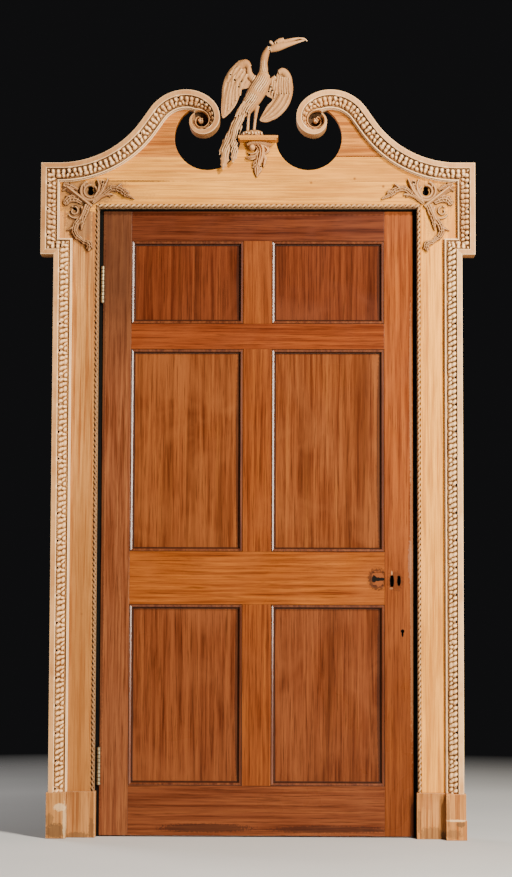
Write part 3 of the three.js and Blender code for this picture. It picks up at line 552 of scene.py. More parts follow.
def mahogany(name, colour, axis, seed, figure, lean, wear=0.35, polish=0.0, low=None, marks=()):
    """Old waxed mahogany: long streaks, darker pores, a rolling figure and rubbed edges."""
    made = Recipe(name, {"Specular IOR Level": 0.1, "Coat Weight": polish, "Coat Roughness": 0.2})
    shift = drift_of(seed)
    turn = (0.0, math.radians(lean), 0.0)
    streaks = made.noise(grain_of(axis, 95.0), 5.0, 0.66, 0.25, shift, turn)
    bold = made.noise(grain_of(axis, 20.0), 4.0, 0.6, 0.9, shift, turn)
    pores = made.noise(grain_of(axis, 255.0), 3.0, 0.7, 0.0, shift, turn)
    roll = made.noise((5.0, 5.0, 4.0), 3.0, 0.5, 0.8, shift)
    deep = shade(colour, (0.50, 0.38, 0.34))
    light = shade(colour, (1.40, 1.55, 1.40))
    tone = made.ramp(streaks, [(0.34, deep), (0.50, colour), (0.66, light)])
    # Painted shade towards one end of a stile, where low is given
    if low:
        tone = made.lowered(tone, *low, dulled(colour))
    tone = made.over(tone, bold, 0.50, 0.66, figure, shade(deep, 0.75))
    tone = made.over(tone, roll, 0.48, 0.75, figure, light)
    tone = made.over(tone, pores, 0.53, 0.64, 0.6, shade(deep, 0.5))
    tone = made.marked(made.rubbed(tone, 2.2, wear, light), marks)
    # Painted shade in the quirk and hollow of the panel mouldings, which carry the cut mark
    tone = made.over(tone, made.cut(), 0.0, 1.0, 0.9, GRIME_AND_SHADE)
    made.bump(pores, 0.10, 0.3)
    return made.done(tone, made.remap(roll, 0.3, 0.7, 0.26, 0.40))


def dark_paint_and_shade(name):
    """Old dark paint on the lining, dusty and rubbed; its near-black colour is partly the paint and partly
    painted shade in the gap round the door.
    """
    made = Recipe(name, {"Specular IOR Level": 0.06})
    dust = made.noise((16.0, 16.0, 5.0), 5.0, 0.6)
    grit = made.noise((240.0, 240.0, 240.0), 2.0, 0.6)
    tone = made.ramp(dust, [(0.35, (0.0010, 0.0010, 0.0010)), (0.70, (0.0036, 0.0036, 0.0032))])
    tone = made.rubbed(tone, 2.0, 0.3, (0.012, 0.010, 0.008))
    made.bump(grit, 0.2, 0.3)
    return made.done(tone, made.remap(dust, 0.3, 0.7, 0.55, 0.8))


def old_brass(name):
    """Dull brass, browned by handling, with brighter edges."""
    made = Recipe(name, {"Metallic": 0.85})
    film = made.noise((70.0, 70.0, 34.0), 5.0, 0.6)
    scratches = made.noise((900.0, 900.0, 60.0), 2.0, 0.5)
    browns = [(0.32, (0.15, 0.105, 0.055)), (0.55, (0.33, 0.27, 0.16)), (0.75, (0.46, 0.40, 0.26))]
    tone = made.rubbed(made.ramp(film, browns), 1.2, 0.6, (0.62, 0.54, 0.36))
    tone = made.over(tone, made.cut(), 0.0, 1.0, 0.95, GRIME_AND_SHADE)
    made.bump(scratches, 0.12, 0.2)
    return made.done(tone, made.remap(film, 0.3, 0.7, 0.50, 0.34))


# Carved backband

LEAF_PITCH = 92.0
CARVED_WIDTH = BAND_WIDTH - FILLET_WIDTH - FASCIA_WIDTH
HOLLOW_DEPTH = 47.0
BRIM_DEPTH = 64.0
NOTCH_DEPTH = 41.0
QUIRK_WIDTH = 4.2
QUIRK_DEPTH = 45.0
WEB_DEPTH = 16.0

# Lumps of one leaf: along from its middle, across from the fascia, half sizes, lean, foot and rise
FINGERS = [(a, 8.8, 8.6, 10.4, 0.9 * a, 55.0, 14.5) for a in (-18.0, 0.0, 18.0)]
LINKS = [(a, 16.0, 7.6, 9.0, 0.6 * a, 52.0, 13.0) for a in (-17.5, 0.0, 17.5)]
BELLY = [(0.0, 22.5, 11.5, 8.6, 0.0, 47.0, 17.0)]
CHEEKS = [(side * 18.5, 22.0, 7.6, 8.6, side * 22.0, 47.0, 14.0) for side in (-1, 1)]
STRANDS = [(side * 33.0, 19.5, 6.6, 11.5, side * 34.0, 47.0, 14.0) for side in (-1, 1)]
ARMS = [(side * 35.6, 8.4, 7.0, 10.2, side * -24.0, 55.0, 15.0) for side in (-1, 1)]
LUMPS = FINGERS + LINKS + BELLY + CHEEKS + STRANDS + ARMS
SWELLING = (0.0, 22.5, 9.0, 7.6, 0.0, 47.0, 12.0)


def lump_height(along, across, lump, drift):
    """Front of one rounded lump in front of the wall, or nothing beside it."""
    a, c, half_a, half_c, lean, foot, rise = lump
    da = along - a - drift[..., 0]
    dc = across - c - drift[..., 1]
    turn = math.radians(lean)
    p = (da * math.cos(turn) + dc * math.sin(turn)) / half_a
    q = (dc * math.cos(turn) - da * math.sin(turn)) / half_c
    inside = np.clip(1 - p**2 - q**2, 0, 1)
    return np.where(inside > 0, foot + rise * (1 + drift[..., 2]) * np.sqrt(inside), 0.0)


def leaf_height(place, across, seed, slant):
    """Front of the carved leaves: place counts leaves along the run, across is measured from the fascia."""
    dice = np.random.default_rng(seed)
    place = place - slant * across / LEAF_PITCH
    count = int(np.ceil(place.max() - place.min())) + 4
    drift = dice.normal(0, 1, (count, len(LUMPS) + 1, 3)) * (0.55, 0.45, 0.05)
    unit = np.floor(place).astype(int)
    first = unit.min() - 1
    along = (place - unit - 0.5) * LEAF_PITCH
    fall = np.clip(across / (CARVED_WIDTH - 6.5), 0, 1)
    height = HOLLOW_DEPTH + (BRIM_DEPTH - HOLLOW_DEPTH) * (0.5 + 0.5 * np.cos(np.pi * fall))
    for k, lump in enumerate(LUMPS):
        height = np.maximum(height, lump_height(along, across, lump, drift[unit - first, k]))
    border = np.round(place).astype(int)
    beside = (place - border) * LEAF_PITCH
    height = np.maximum(height, lump_height(beside, across, SWELLING, drift[border - first, -1]))
    notch = np.abs(beside) < 5.6 * (1 - across / 9.5)
    quirk = across > CARVED_WIDTH - QUIRK_WIDTH
    return np.where(notch, NOTCH_DEPTH, np.where(quirk, QUIRK_DEPTH, height))


def band_rows(stations):
    """Places across the backband with their depths; carved rows have no depth of their own."""
    inner = BAND_WIDTH - FILLET_WIDTH
    step = BAND_WIDTH - STEP_WIDTH
    rows = [(0, depth) for depth in np.linspace(0, FASCIA_DEPTH - 6.0, 6)]
    rows += [(0, FASCIA_DEPTH - 1.6), (0.5, FASCIA_DEPTH - 0.5)]
    rows += [(u, FASCIA_DEPTH) for u in np.linspace(1.7, FASCIA_WIDTH - 1.5, 7)]
    rows += [(FASCIA_WIDTH - 0.5, FASCIA_DEPTH - 0.4), (FASCIA_WIDTH, FASCIA_DEPTH - 1.5)]
    rows += [(u, None) for u in np.linspace(FASCIA_WIDTH + 0.4, inner - 0.3, stations)]
    rows += [(inner, FILLET_DEPTH - 1.2), (inner + 0.9, FILLET_DEPTH - 0.1), (step - 2.6, FILLET_DEPTH + 0.1)]
    rows += [(step - 0.7, FILLET_DEPTH - 0.2), (step, FILLET_DEPTH - 1.3), (step + 0.2, STEP_DEPTH + 0.5)]
    rows += [(step + 0.8, STEP_DEPTH), (BAND_WIDTH - 0.5, STEP_DEPTH - 0.2), (BAND_WIDTH, STEP_DEPTH - 1.0)]
    rows += [(BAND_WIDTH, 0)]
    return rows


class Straight:
    """The outer edge of a straight length; its ends are mitred by a skew that grows across the band."""

    def __init__(self, start, end, skews):
        self.start = np.asarray(start, float)
        self.length = float(np.hypot(*(np.asarray(end) - start)))
        self.heading = (np.asarray(end) - start) / self.length
        self.skews = skews

    def at(self, s):
        edge = self.start + np.asarray(s)[..., None] * self.heading
        inwards = np.broadcast_to((-self.heading[1], self.heading[0]), edge.shape)
        return edge, inwards

    def carved_length(self, s):
        return s

    def across(self, u, s):
        return u


class SwanNeck:
    """The outer edge of the swan neck: straights and arcs from the ear to the end of the scroll."""

    FLAT_END = 679.0
    ARCS = [(340.0, -55.0), (None, 54.0), (150.0, 55.0)]
    SCROLL = [(130.0, 45.0), (80.0, 45.0), (60.0, 90.0), (44.5, 90.0), (33.0, 60.0)]
    EYE = np.array([198.0, 2438.0])
    EYE_CLEAR = (33.0, 22.0)
    FASCIA_SHARE = 0.55
    CARVED_LINE = 25.0
    STEP = 0.25

    def __init__(self):
        self.skews = (1, 0)
        bends = [(0.0, EAR_OUTER - self.FLAT_END)]
        for radius, turn in self.ARCS + self.SCROLL:
            if radius is None:
                bends.append((0.0, turn))
            else:
                bends.append((math.copysign(1 / radius, turn), radius * math.radians(abs(turn))))
        self.length = sum(length for _, length in bends)
        self.scroll_from = sum(length for _, length in bends[:4])
        self.s = np.arange(0, self.length + self.STEP, self.STEP)
        ends = np.cumsum([length for _, length in bends])
        piece = np.minimum(np.searchsorted(ends, self.s, side="right"), len(bends) - 1)
        bend = np.array([bend for bend, _ in bends])[piece]
        angle = np.pi + np.concatenate([[0], np.cumsum(bend[:-1] * self.STEP)])
        middle = angle + bend * self.STEP / 2
        self.x = EAR_OUTER + np.concatenate([[0], np.cumsum(np.cos(middle[:-1]) * self.STEP)])
        self.z = EAR_TOP + np.concatenate([[0], np.cumsum(np.sin(middle[:-1]) * self.STEP)])
        self.angle = angle
        carved = (1 - bend * self.CARVED_LINE) * self.STEP
        self.carved = np.concatenate([[0], np.cumsum(carved[:-1])])

    def pick(self, table, s):
        return np.interp(s, self.s, table)

    def at(self, s):
        angle = self.pick(self.angle, s)
        edge = np.stack([self.pick(self.x, s), self.pick(self.z, s)], axis=-1)
        return edge, np.stack([-np.sin(angle), np.cos(angle)], axis=-1)

    def carved_length(self, s):
        return self.pick(self.carved, s)

    def across(self, u, s):
        """In the scroll the carving narrows and a hollow is left round the eye."""
        edge, _ = self.at(s)
        share = np.clip((s - self.scroll_from) / (self.length - self.scroll_from), 0, 1)
        clear = self.EYE_CLEAR[0] + (self.EYE_CLEAR[1] - self.EYE_CLEAR[0]) * share
        room = np.minimum(BAND_WIDTH, np.hypot(*(edge - self.EYE).T) - clear)
        room = np.where(s <= self.scroll_from, BAND_WIDTH, room)
        fascia = np.minimum(FASCIA_WIDTH, self.FASCIA_SHARE * room)
        if u <= FASCIA_WIDTH:
            return u * fascia / FASCIA_WIDTH
        return fascia + (u - FASCIA_WIDTH) * (room - fascia) / (BAND_WIDTH - FASCIA_WIDTH)


def backband(run, notch_at, pitch, seed, slant=0.0):
    """One length of the backband. A drilled notch stands at notch_at, and one at every pitch from it."""
    stations = max(24, int(run.length / STATION))
    t = np.linspace(0, 1, stations + 1)
    rows = []
    for u, depth in band_rows(25):
        start = run.skews[0] * u
        s = start + (run.length + run.skews[1] * u - start) * t
        edge, inwards = run.at(s)
        if depth is None:
            place = (run.carved_length(s) - notch_at) / pitch
            y = -leaf_height(place, np.full_like(s, u - FASCIA_WIDTH), seed, slant)
        else:
            y = np.full_like(s, -depth)
        spot = edge + np.asarray(run.across(u, s) + np.zeros_like(s))[:, None] * inwards
        rows.append(np.stack([spot[:, 0], y, spot[:, 1]], axis=1))
    return loft(np.stack(rows))


WEB_RADIUS = 34.0
BUTTON = (10.0, 40.0, 10.0)
SEED = (3.6, 7.0, 3.6)
SEED_COUNT = 5
SEED_TURN = 1.257
SEED_RING = 6.0
SEED_DEPTH = 54.0


def scroll_eye():
    """The web behind the scroll, the fillet that winds in as a ring and the button at its middle."""
    x, z = SwanNeck.EYE
    turn = np.linspace(0, 2 * np.pi, 56, endpoint=False)
    rim = np.stack([x + WEB_RADIUS * np.cos(turn), z + WEB_RADIUS * np.sin(turn)], axis=1)
    web = prism(rim, -WEB_DEPTH, 0.0)
    ring = curl_knots(-WEB_DEPTH, (x, z), (38.0, 13.0), (55.0, 430.0), (4.0, 5.0), 44.0, 26)
    button = egg((x, -WEB_DEPTH, z), BUTTON)
    button[0][:, 1] = np.minimum(button[0][:, 1], -1.0)
    shells = [web, sweep(ring, PLAIN, 80), button]
    for a in np.arange(SEED_COUNT) * SEED_TURN:
        shells.append(egg((x + SEED_RING * math.cos(a), -SEED_DEPTH, z + SEED_RING * math.sin(a)), SEED))
    return shells


# Colour, seed, dirt and painted shade in the cuts, and wear and painted highlight on the crests. The
# left-hand pieces are darker than the right-hand ones: partly the wood, partly painted shade on the side away
# from the light
CARVED_LOOKS = {
    "right": ((0.55, 0.272, 0.100), 3.0, 0.88, 0.85),
    "left": ((0.43, 0.204, 0.072), 7.0, 0.88, 0.78),
    "jamb_right": ((0.72, 0.400, 0.160), 5.0, 0.8, 0.85),
    "jamb_left": ((0.59, 0.288, 0.098), 9.0, 0.8, 0.85),
    "spray_right": ((0.42, 0.205, 0.078), 23.0, 0.95, 0.65),
    "spray_left": ((0.31, 0.146, 0.058), 29.0, 0.95, 0.6),
    "leaf": ((0.52, 0.262, 0.105), 31.0, 0.9, 0.8),
    "bird": ((0.41, 0.198, 0.074), 19.0, 0.97, 0.75),
    "rope_right": ((0.38, 0.180, 0.060), 13.0, 0.98, 0.35),
    "rope_left": ((0.23, 0.105, 0.038), 17.0, 0.98, 0.15),
}
CARVED = {name: carved_pine("carved_pine_" + name, *look) for name, look in CARVED_LOOKS.items()}

MITRE = 0.2
PLAIN_DEPTH = 38.0
JAMB_NOTCH = {"right": (20.7, 92.0), "left": (8.9, 92.4)}
NECK_NOTCH = (11.3, 91.4)
LEAF_SLANT = {"right": -0.35, "left": 0.35}
EAR_PITCH = 90.0
RETURN_NOTCH = 80.0
# Radius of the hollow round the scroll's eye, and the depth behind which it is filled with painted shade
EYE_HOLLOW = (38.0, 36.0)
BAND_SHARP = 50
BAND_CUTS = (7, 2.2)


def make_backbands(side, seed):
    jamb = Straight((JAMB_OUTER, JAMB_FOOT), (JAMB_OUTER, EAR_BOTTOM - MITRE), (0, 1))
    turn_in = Straight((JAMB_OUTER + MITRE, EAR_BOTTOM), (EAR_OUTER - MITRE, EAR_BOTTOM), (-1, -1))
    ear = Straight((EAR_OUTER, EAR_BOTTOM + MITRE), (EAR_OUTER, EAR_TOP - MITRE), (1, -1))
    lengths = {
        "backband_jamb_": [backband(jamb, *JAMB_NOTCH[side], seed, LEAF_SLANT[side])],
        "ear_return_": [backband(turn_in, turn_in.length / 2 - RETURN_NOTCH, EAR_PITCH, seed + 1)],
        "ear_side_": [backband(ear, ear.length / 2, EAR_PITCH, seed + 2)],
        "swan_neck_": [backband(SwanNeck(), *NECK_NOTCH, seed + 3)] + scroll_eye(),
    }
    for name, shells in lengths.items():
        shells = shells if side == "right" else flipped(shells)
        mesh = mesh_of(name + side, *joined(shells), BAND_SHARP)
        eye = (SwanNeck.EYE[0] * (1 if side == "right" else -1), SwanNeck.EYE[1], *EYE_HOLLOW)
        mark_cuts(mesh, *BAND_CUTS, hollows=[eye] if "neck" in name else (), plain=PLAIN_DEPTH)
        material = CARVED["jamb_" + side if "jamb" in name else side]
        place_piece("carved_" + name + side, mesh, material, "surround", [name + side])


# Rope twist round the opening

ROPE_PITCH = 18.4
ROPE_SHOWN = 10.4
ROPE_AXIS = 33.0
ROPE_ROWS = 13
ROPE_SLANT = 0.55
ROPE_GROOVE = 0.78
ROPE_POWER = 1.3
ROPE_STATION = 1.6
ROPE_SHARP = 60
ROPE_CUTS = (4, 0.9)


def rope(run, lean):
    """Twisted strands along a run; the inner edge of the solid is left to the shadow of the lining."""
    t = np.linspace(0, 1, int(run.length / ROPE_STATION) + 1)
    radius = ROPE_SHOWN / 2
    rows = []
    for turn in [None, *np.linspace(-np.pi / 2, np.pi / 2, ROPE_ROWS), None]:
        wide = (-1.0 if not rows else 1.0) if turn is None else math.sin(turn)
        skew = radius * (1 + wide)
        s = run.skews[0] * skew + (run.length + (run.skews[1] - run.skews[0]) * skew) * t
        edge, inwards = run.at(s)
        if turn is None:
            u = np.full_like(s, skew)
            y = np.zeros_like(s)
        else:
            phase = s / ROPE_PITCH + lean * ROPE_SLANT * turn / np.pi
            swell = radius * (1 - ROPE_GROOVE * (1 - np.abs(np.sin(np.pi * phase)) ** ROPE_POWER))
            u = radius + swell * wide
            y = -ROPE_AXIS - swell * math.cos(turn)
        spot = edge + u[:, None] * inwards
        rows.append(np.stack([spot[:, 0], y, spot[:, 1]], axis=1))
    return loft(np.stack(rows))


def make_ropes():
    jamb = Straight((ROPE_OUTER, JAMB_FOOT), (ROPE_OUTER, ROPE_TOP - MITRE), (0, -1))
    head = Straight((ROPE_OUTER - MITRE, ROPE_TOP), (MITRE - ROPE_OUTER, ROPE_TOP), (1, -1))
    shells = {"rope_jamb_right": [rope(jamb, 1)], "rope_jamb_left": flipped([rope(jamb, 1)]),
              "rope_head": [rope(head, -1)]}
    for name, parts in shells.items():
        mesh = mesh_of(name, *joined(parts), ROPE_SHARP)
        mark_cuts(mesh, *ROPE_CUTS)
        side = "left" if name.endswith("left") else "right"
        place_piece("carved_" + name, mesh, CARVED["rope_" + side], "surround", [name])


# Acanthus sprays in the top corners and the leaf under the shelf

ON_BOARD = -BOARD_THICK
BROADEN = 1.16
RAISE = 1.12
# Smoothing passes, reach and foot height of the painted shade in the cuts of the reliefs
RELIEF_CUTS = (7, 1.3, 7.0)
SPRAY_VOXEL = 1.3
LEAF_VOXEL = 1.0
BAND_CLEAR = 0.5
EAR_INSIDE = 660


def leaf(knots, section, teeth=0):
    """A leaf on the board through knots of x, height, half width and rise."""
    full = [(x, ON_BOARD, z, half * BROADEN, rise * RAISE) for x, z, half, rise in knots]
    return ridge(full, section, 12, teeth, 0.28)


def acanthus(knots, lobes, reach):
    """A ribbed leaf with pointed lobes that spring from its middle towards its tip."""
    shells = [leaf(knots, RIBBED)]
    line = through(knots, 60)
    way = np.gradient(line[:, :2], axis=0)
    way /= np.linalg.norm(way, axis=1)[:, None]
    for k in range(lobes):
        at = int(60 * (0.10 + 0.80 * (k + 0.5) / lobes))
        middle, half, rise = line[at, :2], line[at, 2], line[at, 3]
        for side in (-1, 1):
            out = np.array([-way[at, 1], way[at, 0]]) * side
            bend = middle + (0.62 * out + 0.25 * way[at]) * half * reach * 0.72
            tip = middle + (0.80 * out + 0.80 * way[at]) * half * reach
            lobe = [(*middle, half * 0.45, rise * 0.9), (*bend, half * 0.42, rise * 0.92)]
            shells.append(leaf(lobe + [(*tip, 1.2, rise * 0.6)], VEINED))
    return shells


def board_curl(centre, radii, turns, halves, rise, section):
    return sweep(curl_knots(ON_BOARD, centre, radii, turns, halves, rise), section, 60)


def spray_shells():
    """The spray in the right-hand corner."""
    stem = [
        leaf([(570, 2142, 6, 14), (600, 2166, 6, 19), (632, 2191, 6, 20), (656, 2210, 5, 18)], PLAIN),
        leaf([(606, 2164, 5, 9), (640, 2190, 8, 11), (668, 2216, 10, 12)], VEINED, 3),
        leaf([(618, 2200, 6, 9), (642, 2214, 10, 13), (668, 2221, 8, 11)], RIBBED, 3),
        leaf([(640, 2212, 5, 10), (655, 2206, 8, 14), (672, 2196, 4, 10)], VEINED, 2),
    ]
    ring = [
        board_curl((575, 2195), (34, 30), (70, -205), (6, 6), 16, PLAIN),
        board_curl((575, 2195), (21, 22), (95, -225), (5, 5), 13, PLAIN),
        leaf([(590, 2224, 5, 12), (597, 2214, 7, 15), (592, 2203, 3, 9)], VEINED),
    ]
    upright = [
        *acanthus([(566, 2158, 8, 15), (541, 2190, 10, 18), (532, 2213, 12, 19), (531, 2232, 9, 17)], 2, 1.3),
        leaf([(556, 2166, 5, 15), (536, 2190, 5, 18), (524, 2214, 5, 19), (514, 2238, 3, 16)], PLAIN),
        leaf([(562, 2172, 5, 14), (549, 2194, 5, 17), (545, 2214, 5, 17), (551, 2236, 3, 13)], PLAIN),
    ]
    along = [
        *acanthus([(568, 2154, 7, 14), (527, 2186, 8, 17), (506, 2202, 9, 19), (486, 2204, 10, 21),
                   (467, 2196, 10, 22), (455, 2184, 7, 20), (424, 2168, 3, 14)], 5, 1.5),
        leaf([(560, 2160, 4, 13), (530, 2178, 5, 13), (505, 2184, 4, 11), (498, 2180, 2, 8)], PLAIN),
        leaf([(534, 2180, 4, 11), (516, 2181, 5, 11), (506, 2174, 2, 8)], VEINED),
        leaf([(484, 2205, 7, 20), (474, 2214, 7, 22), (466, 2219, 3, 18)], VEINED),
        leaf([(462, 2192, 7, 20), (450, 2192, 7, 22), (442, 2186, 3, 18)], VEINED),
    ]
    below = [
        *acanthus([(604, 2156, 8, 12), (626, 2168, 12, 15), (648, 2167, 13, 16), (665, 2148, 6, 13)], 4, 1.3),
        board_curl((630, 2126), (29, 22), (150, 330), (6, 3), 12, PLAIN),
        board_curl((631, 2126), (17, 6), (60, 420), (4, 4), 11, PLAIN),
    ]
    down = [
        *acanthus([(580, 2150, 7, 15), (591, 2124, 11, 19), (601, 2098, 9, 19),
                   (605, 2060, 2.5, 12)], 3, 1.3),
        leaf([(590, 2148, 5, 14), (600, 2118, 6, 18), (610, 2096, 6, 17)], PLAIN),
        *acanthus([(606, 2104, 8, 15), (622, 2080, 10, 19), (628, 2059, 10, 21), (621, 2040, 9, 21),
                   (606, 2028, 7, 19)], 3, 1.3),
        *acanthus([(612, 2034, 6, 18), (597, 2020, 7, 19), (583, 2016, 9, 23), (576, 2006, 10, 24),
                   (580, 1987, 3, 16)], 3, 1.4),
        leaf([(622, 2074, 6, 15), (640, 2065, 7, 15), (656, 2059, 2, 10)], VEINED, 2),
    ]
    return stem + ring + upright + along + below + down


# Drilled holes: x, height, radius and depth
LEAF_HOLES = [(-30, 2321, 3.0, 10), (9, 2280, 2.5, 8)]
SPRAY_HOLES = [(533, 2225, 3.5, 14), (630, 2145, 4.0, 12), (665, 2145, 3.5, 12), (646, 2222, 3.0, 10)]


def make_sprays():
    limit = EAR_OUTER - BAND_WIDTH - BAND_CLEAR
    top = EAR_TOP - BAND_WIDTH - BAND_CLEAR
    for side, sign in (("right", 1), ("left", -1)):
        shells = spray_shells()
        for points, _ in shells:
            points[:, 0] = np.minimum(points[:, 0], limit)
            ear = points[:, 0] > EAR_INSIDE
            points[ear, 2] = np.minimum(points[ear, 2], top)
        shells = shells if sign > 0 else flipped(shells)
        mesh = fused("corner_spray_" + side, shells, SPRAY_VOXEL, 1)
        hollows = drill(mesh, [(sign * x, z, r, d) for x, z, r, d in SPRAY_HOLES])
        mark_cuts(mesh, *RELIEF_CUTS, hollows)
        place_piece("acanthus_spray_" + side, mesh, CARVED["spray_" + side], "surround",
                    ["corner_spray_" + side])


def make_pedestal_leaf():
    shells = [
        leaf([(-38, 2356, 6, 20), (-20, 2361, 7, 25), (10, 2360, 8, 27), (34, 2357, 8, 20),
              (46, 2357, 4, 12)], PLAIN),
        egg((-20.7, ON_BOARD - 14, 2344.5), (11, 17, 11)),
        leaf([(-2, 2338, 4, 18), (-9, 2327, 4, 21), (-24, 2323, 3.5, 17), (-35, 2327, 2, 12)], PLAIN),
        leaf([(-4, 2356, 9, 22), (6, 2341, 10, 29), (7, 2322, 11, 30), (2, 2300, 10, 26), (-2, 2280, 8, 20),
              (-3, 2262, 9, 17), (-4, 2244, 2, 10)], RIBBED),
        leaf([(8, 2358, 7, 22), (16, 2340, 6, 27), (15, 2318, 6, 27), (9, 2300, 6, 22),
              (2, 2284, 4, 15)], PLAIN),
        leaf([(4, 2332, 8, 24), (-8, 2318, 8, 25), (-24, 2311, 8, 23), (-42, 2312, 2.5, 14)], VEINED),
        leaf([(2, 2308, 6, 23), (-9, 2297, 5.5, 20), (-19, 2288, 2, 12)], VEINED),
        leaf([(-4, 2291, 6, 18), (-12, 2283, 5, 16), (-20, 2276, 2, 10)], VEINED),
        leaf([(-4, 2282, 5, 17), (-10, 2270, 5, 15), (-8, 2256, 2, 9)], VEINED),
        leaf([(4, 2286, 5, 17), (9, 2272, 5, 15), (5, 2257, 2, 9)], VEINED),
        leaf([(16, 2352, 8, 21), (27, 2346, 9, 20), (32, 2335, 7, 17), (22, 2325, 3, 11)], VEINED),
        leaf([(17, 2326, 7, 20), (23, 2308, 8, 18), (21, 2292, 6, 15), (18.5, 2278, 2, 9)], VEINED, 3),
    ]
    mesh = fused("pedestal_leaf_skin", shells, LEAF_VOXEL, 1)
    hollows = drill(mesh, LEAF_HOLES)
    mark_cuts(mesh, *RELIEF_CUTS, hollows)
    place_piece("acanthus_leaf", mesh, CARVED["leaf"], "surround", ["pedestal_leaf"])


# The bird

BIRD_Y = -52.0
BIRD_VOXEL = 1.5
BIRD_CUTS = (5, 1.0)
BLADE_STEPS = 8
BLADE_FRONT = -2.0
BLADE_BACK = 8.0
CLAWS = (-50, -40, -31, -19, -8, 2, 12)
SHELF_HALF = 66
SHELF_GAP = 0.2
LEFT_WING = [(-33, 2640), (-50, 2650), (-72, 2641), (-92, 2619), (-110, 2584), (-122, 2541), (-127, 2497),
             (-126, 2461), (-120, 2446), (-100, 2462), (-78, 2490), (-66, 2519), (-57, 2545), (-38, 2550),
             (-14, 2562), (-20, 2590), (-36, 2612)]
RIGHT_WING = [(69, 2610), (84, 2619), (103, 2610), (114, 2584), (119, 2552), (114, 2519), (97, 2485),
              (68, 2454), (42, 2436), (22, 2432), (6, 2438), (14, 2458), (31, 2488), (49, 2511),
              (30, 2524), (22, 2545), (30, 2580), (57, 2584)]


def limb(knots, section=ROUND, density=10, teeth=0):
    """A limb through knots of x, height, half width, rise and, away from the middle plane, depth."""
    full = [(x, BIRD_Y + sum(depth), z, half, rise) for x, z, half, rise, *depth in knots]
    return ridge(full, section, density, teeth, 0.25)


def plume(knots, teeth=0):
    return limb(knots, VANE, 12, teeth)


def wing_blade(outline):
    """A thin blade with a rounded outline, which carries the feathers."""
    loop = np.asarray(outline, float)
    ring = through(np.concatenate([loop[-2:], loop, loop[:2]]), BLADE_STEPS * (len(loop) + 3))
    ring = ring[BLADE_STEPS * 2:BLADE_STEPS * (len(loop) + 2)]
    return prism(ring, BIRD_Y + BLADE_FRONT, BIRD_Y + BLADE_BACK)


def fan(starts, ends, count, half, rise, lift, bow):
    """Feathers laid side by side between a first and a last one, overlapping like slates."""
    shells = []
    for k in range(count):
        share = k / (count - 1)
        a = np.asarray(starts[0]) * (1 - share) + np.asarray(starts[1]) * share
        b = np.asarray(ends[0]) * (1 - share) + np.asarray(ends[1]) * share
        way = b - a
        out = np.array([way[1], -way[0]]) / np.hypot(*way)
        middle = (a + b) / 2 + out * bow
        y = -lift - 0.8 * (k % 2)
        tip = (*b, half * 0.35, rise * 0.5, y)
        shells.append(plume([(*a, half * 0.6, rise, y), (*middle, half, rise, y - 1.0), tip]))
    return shells


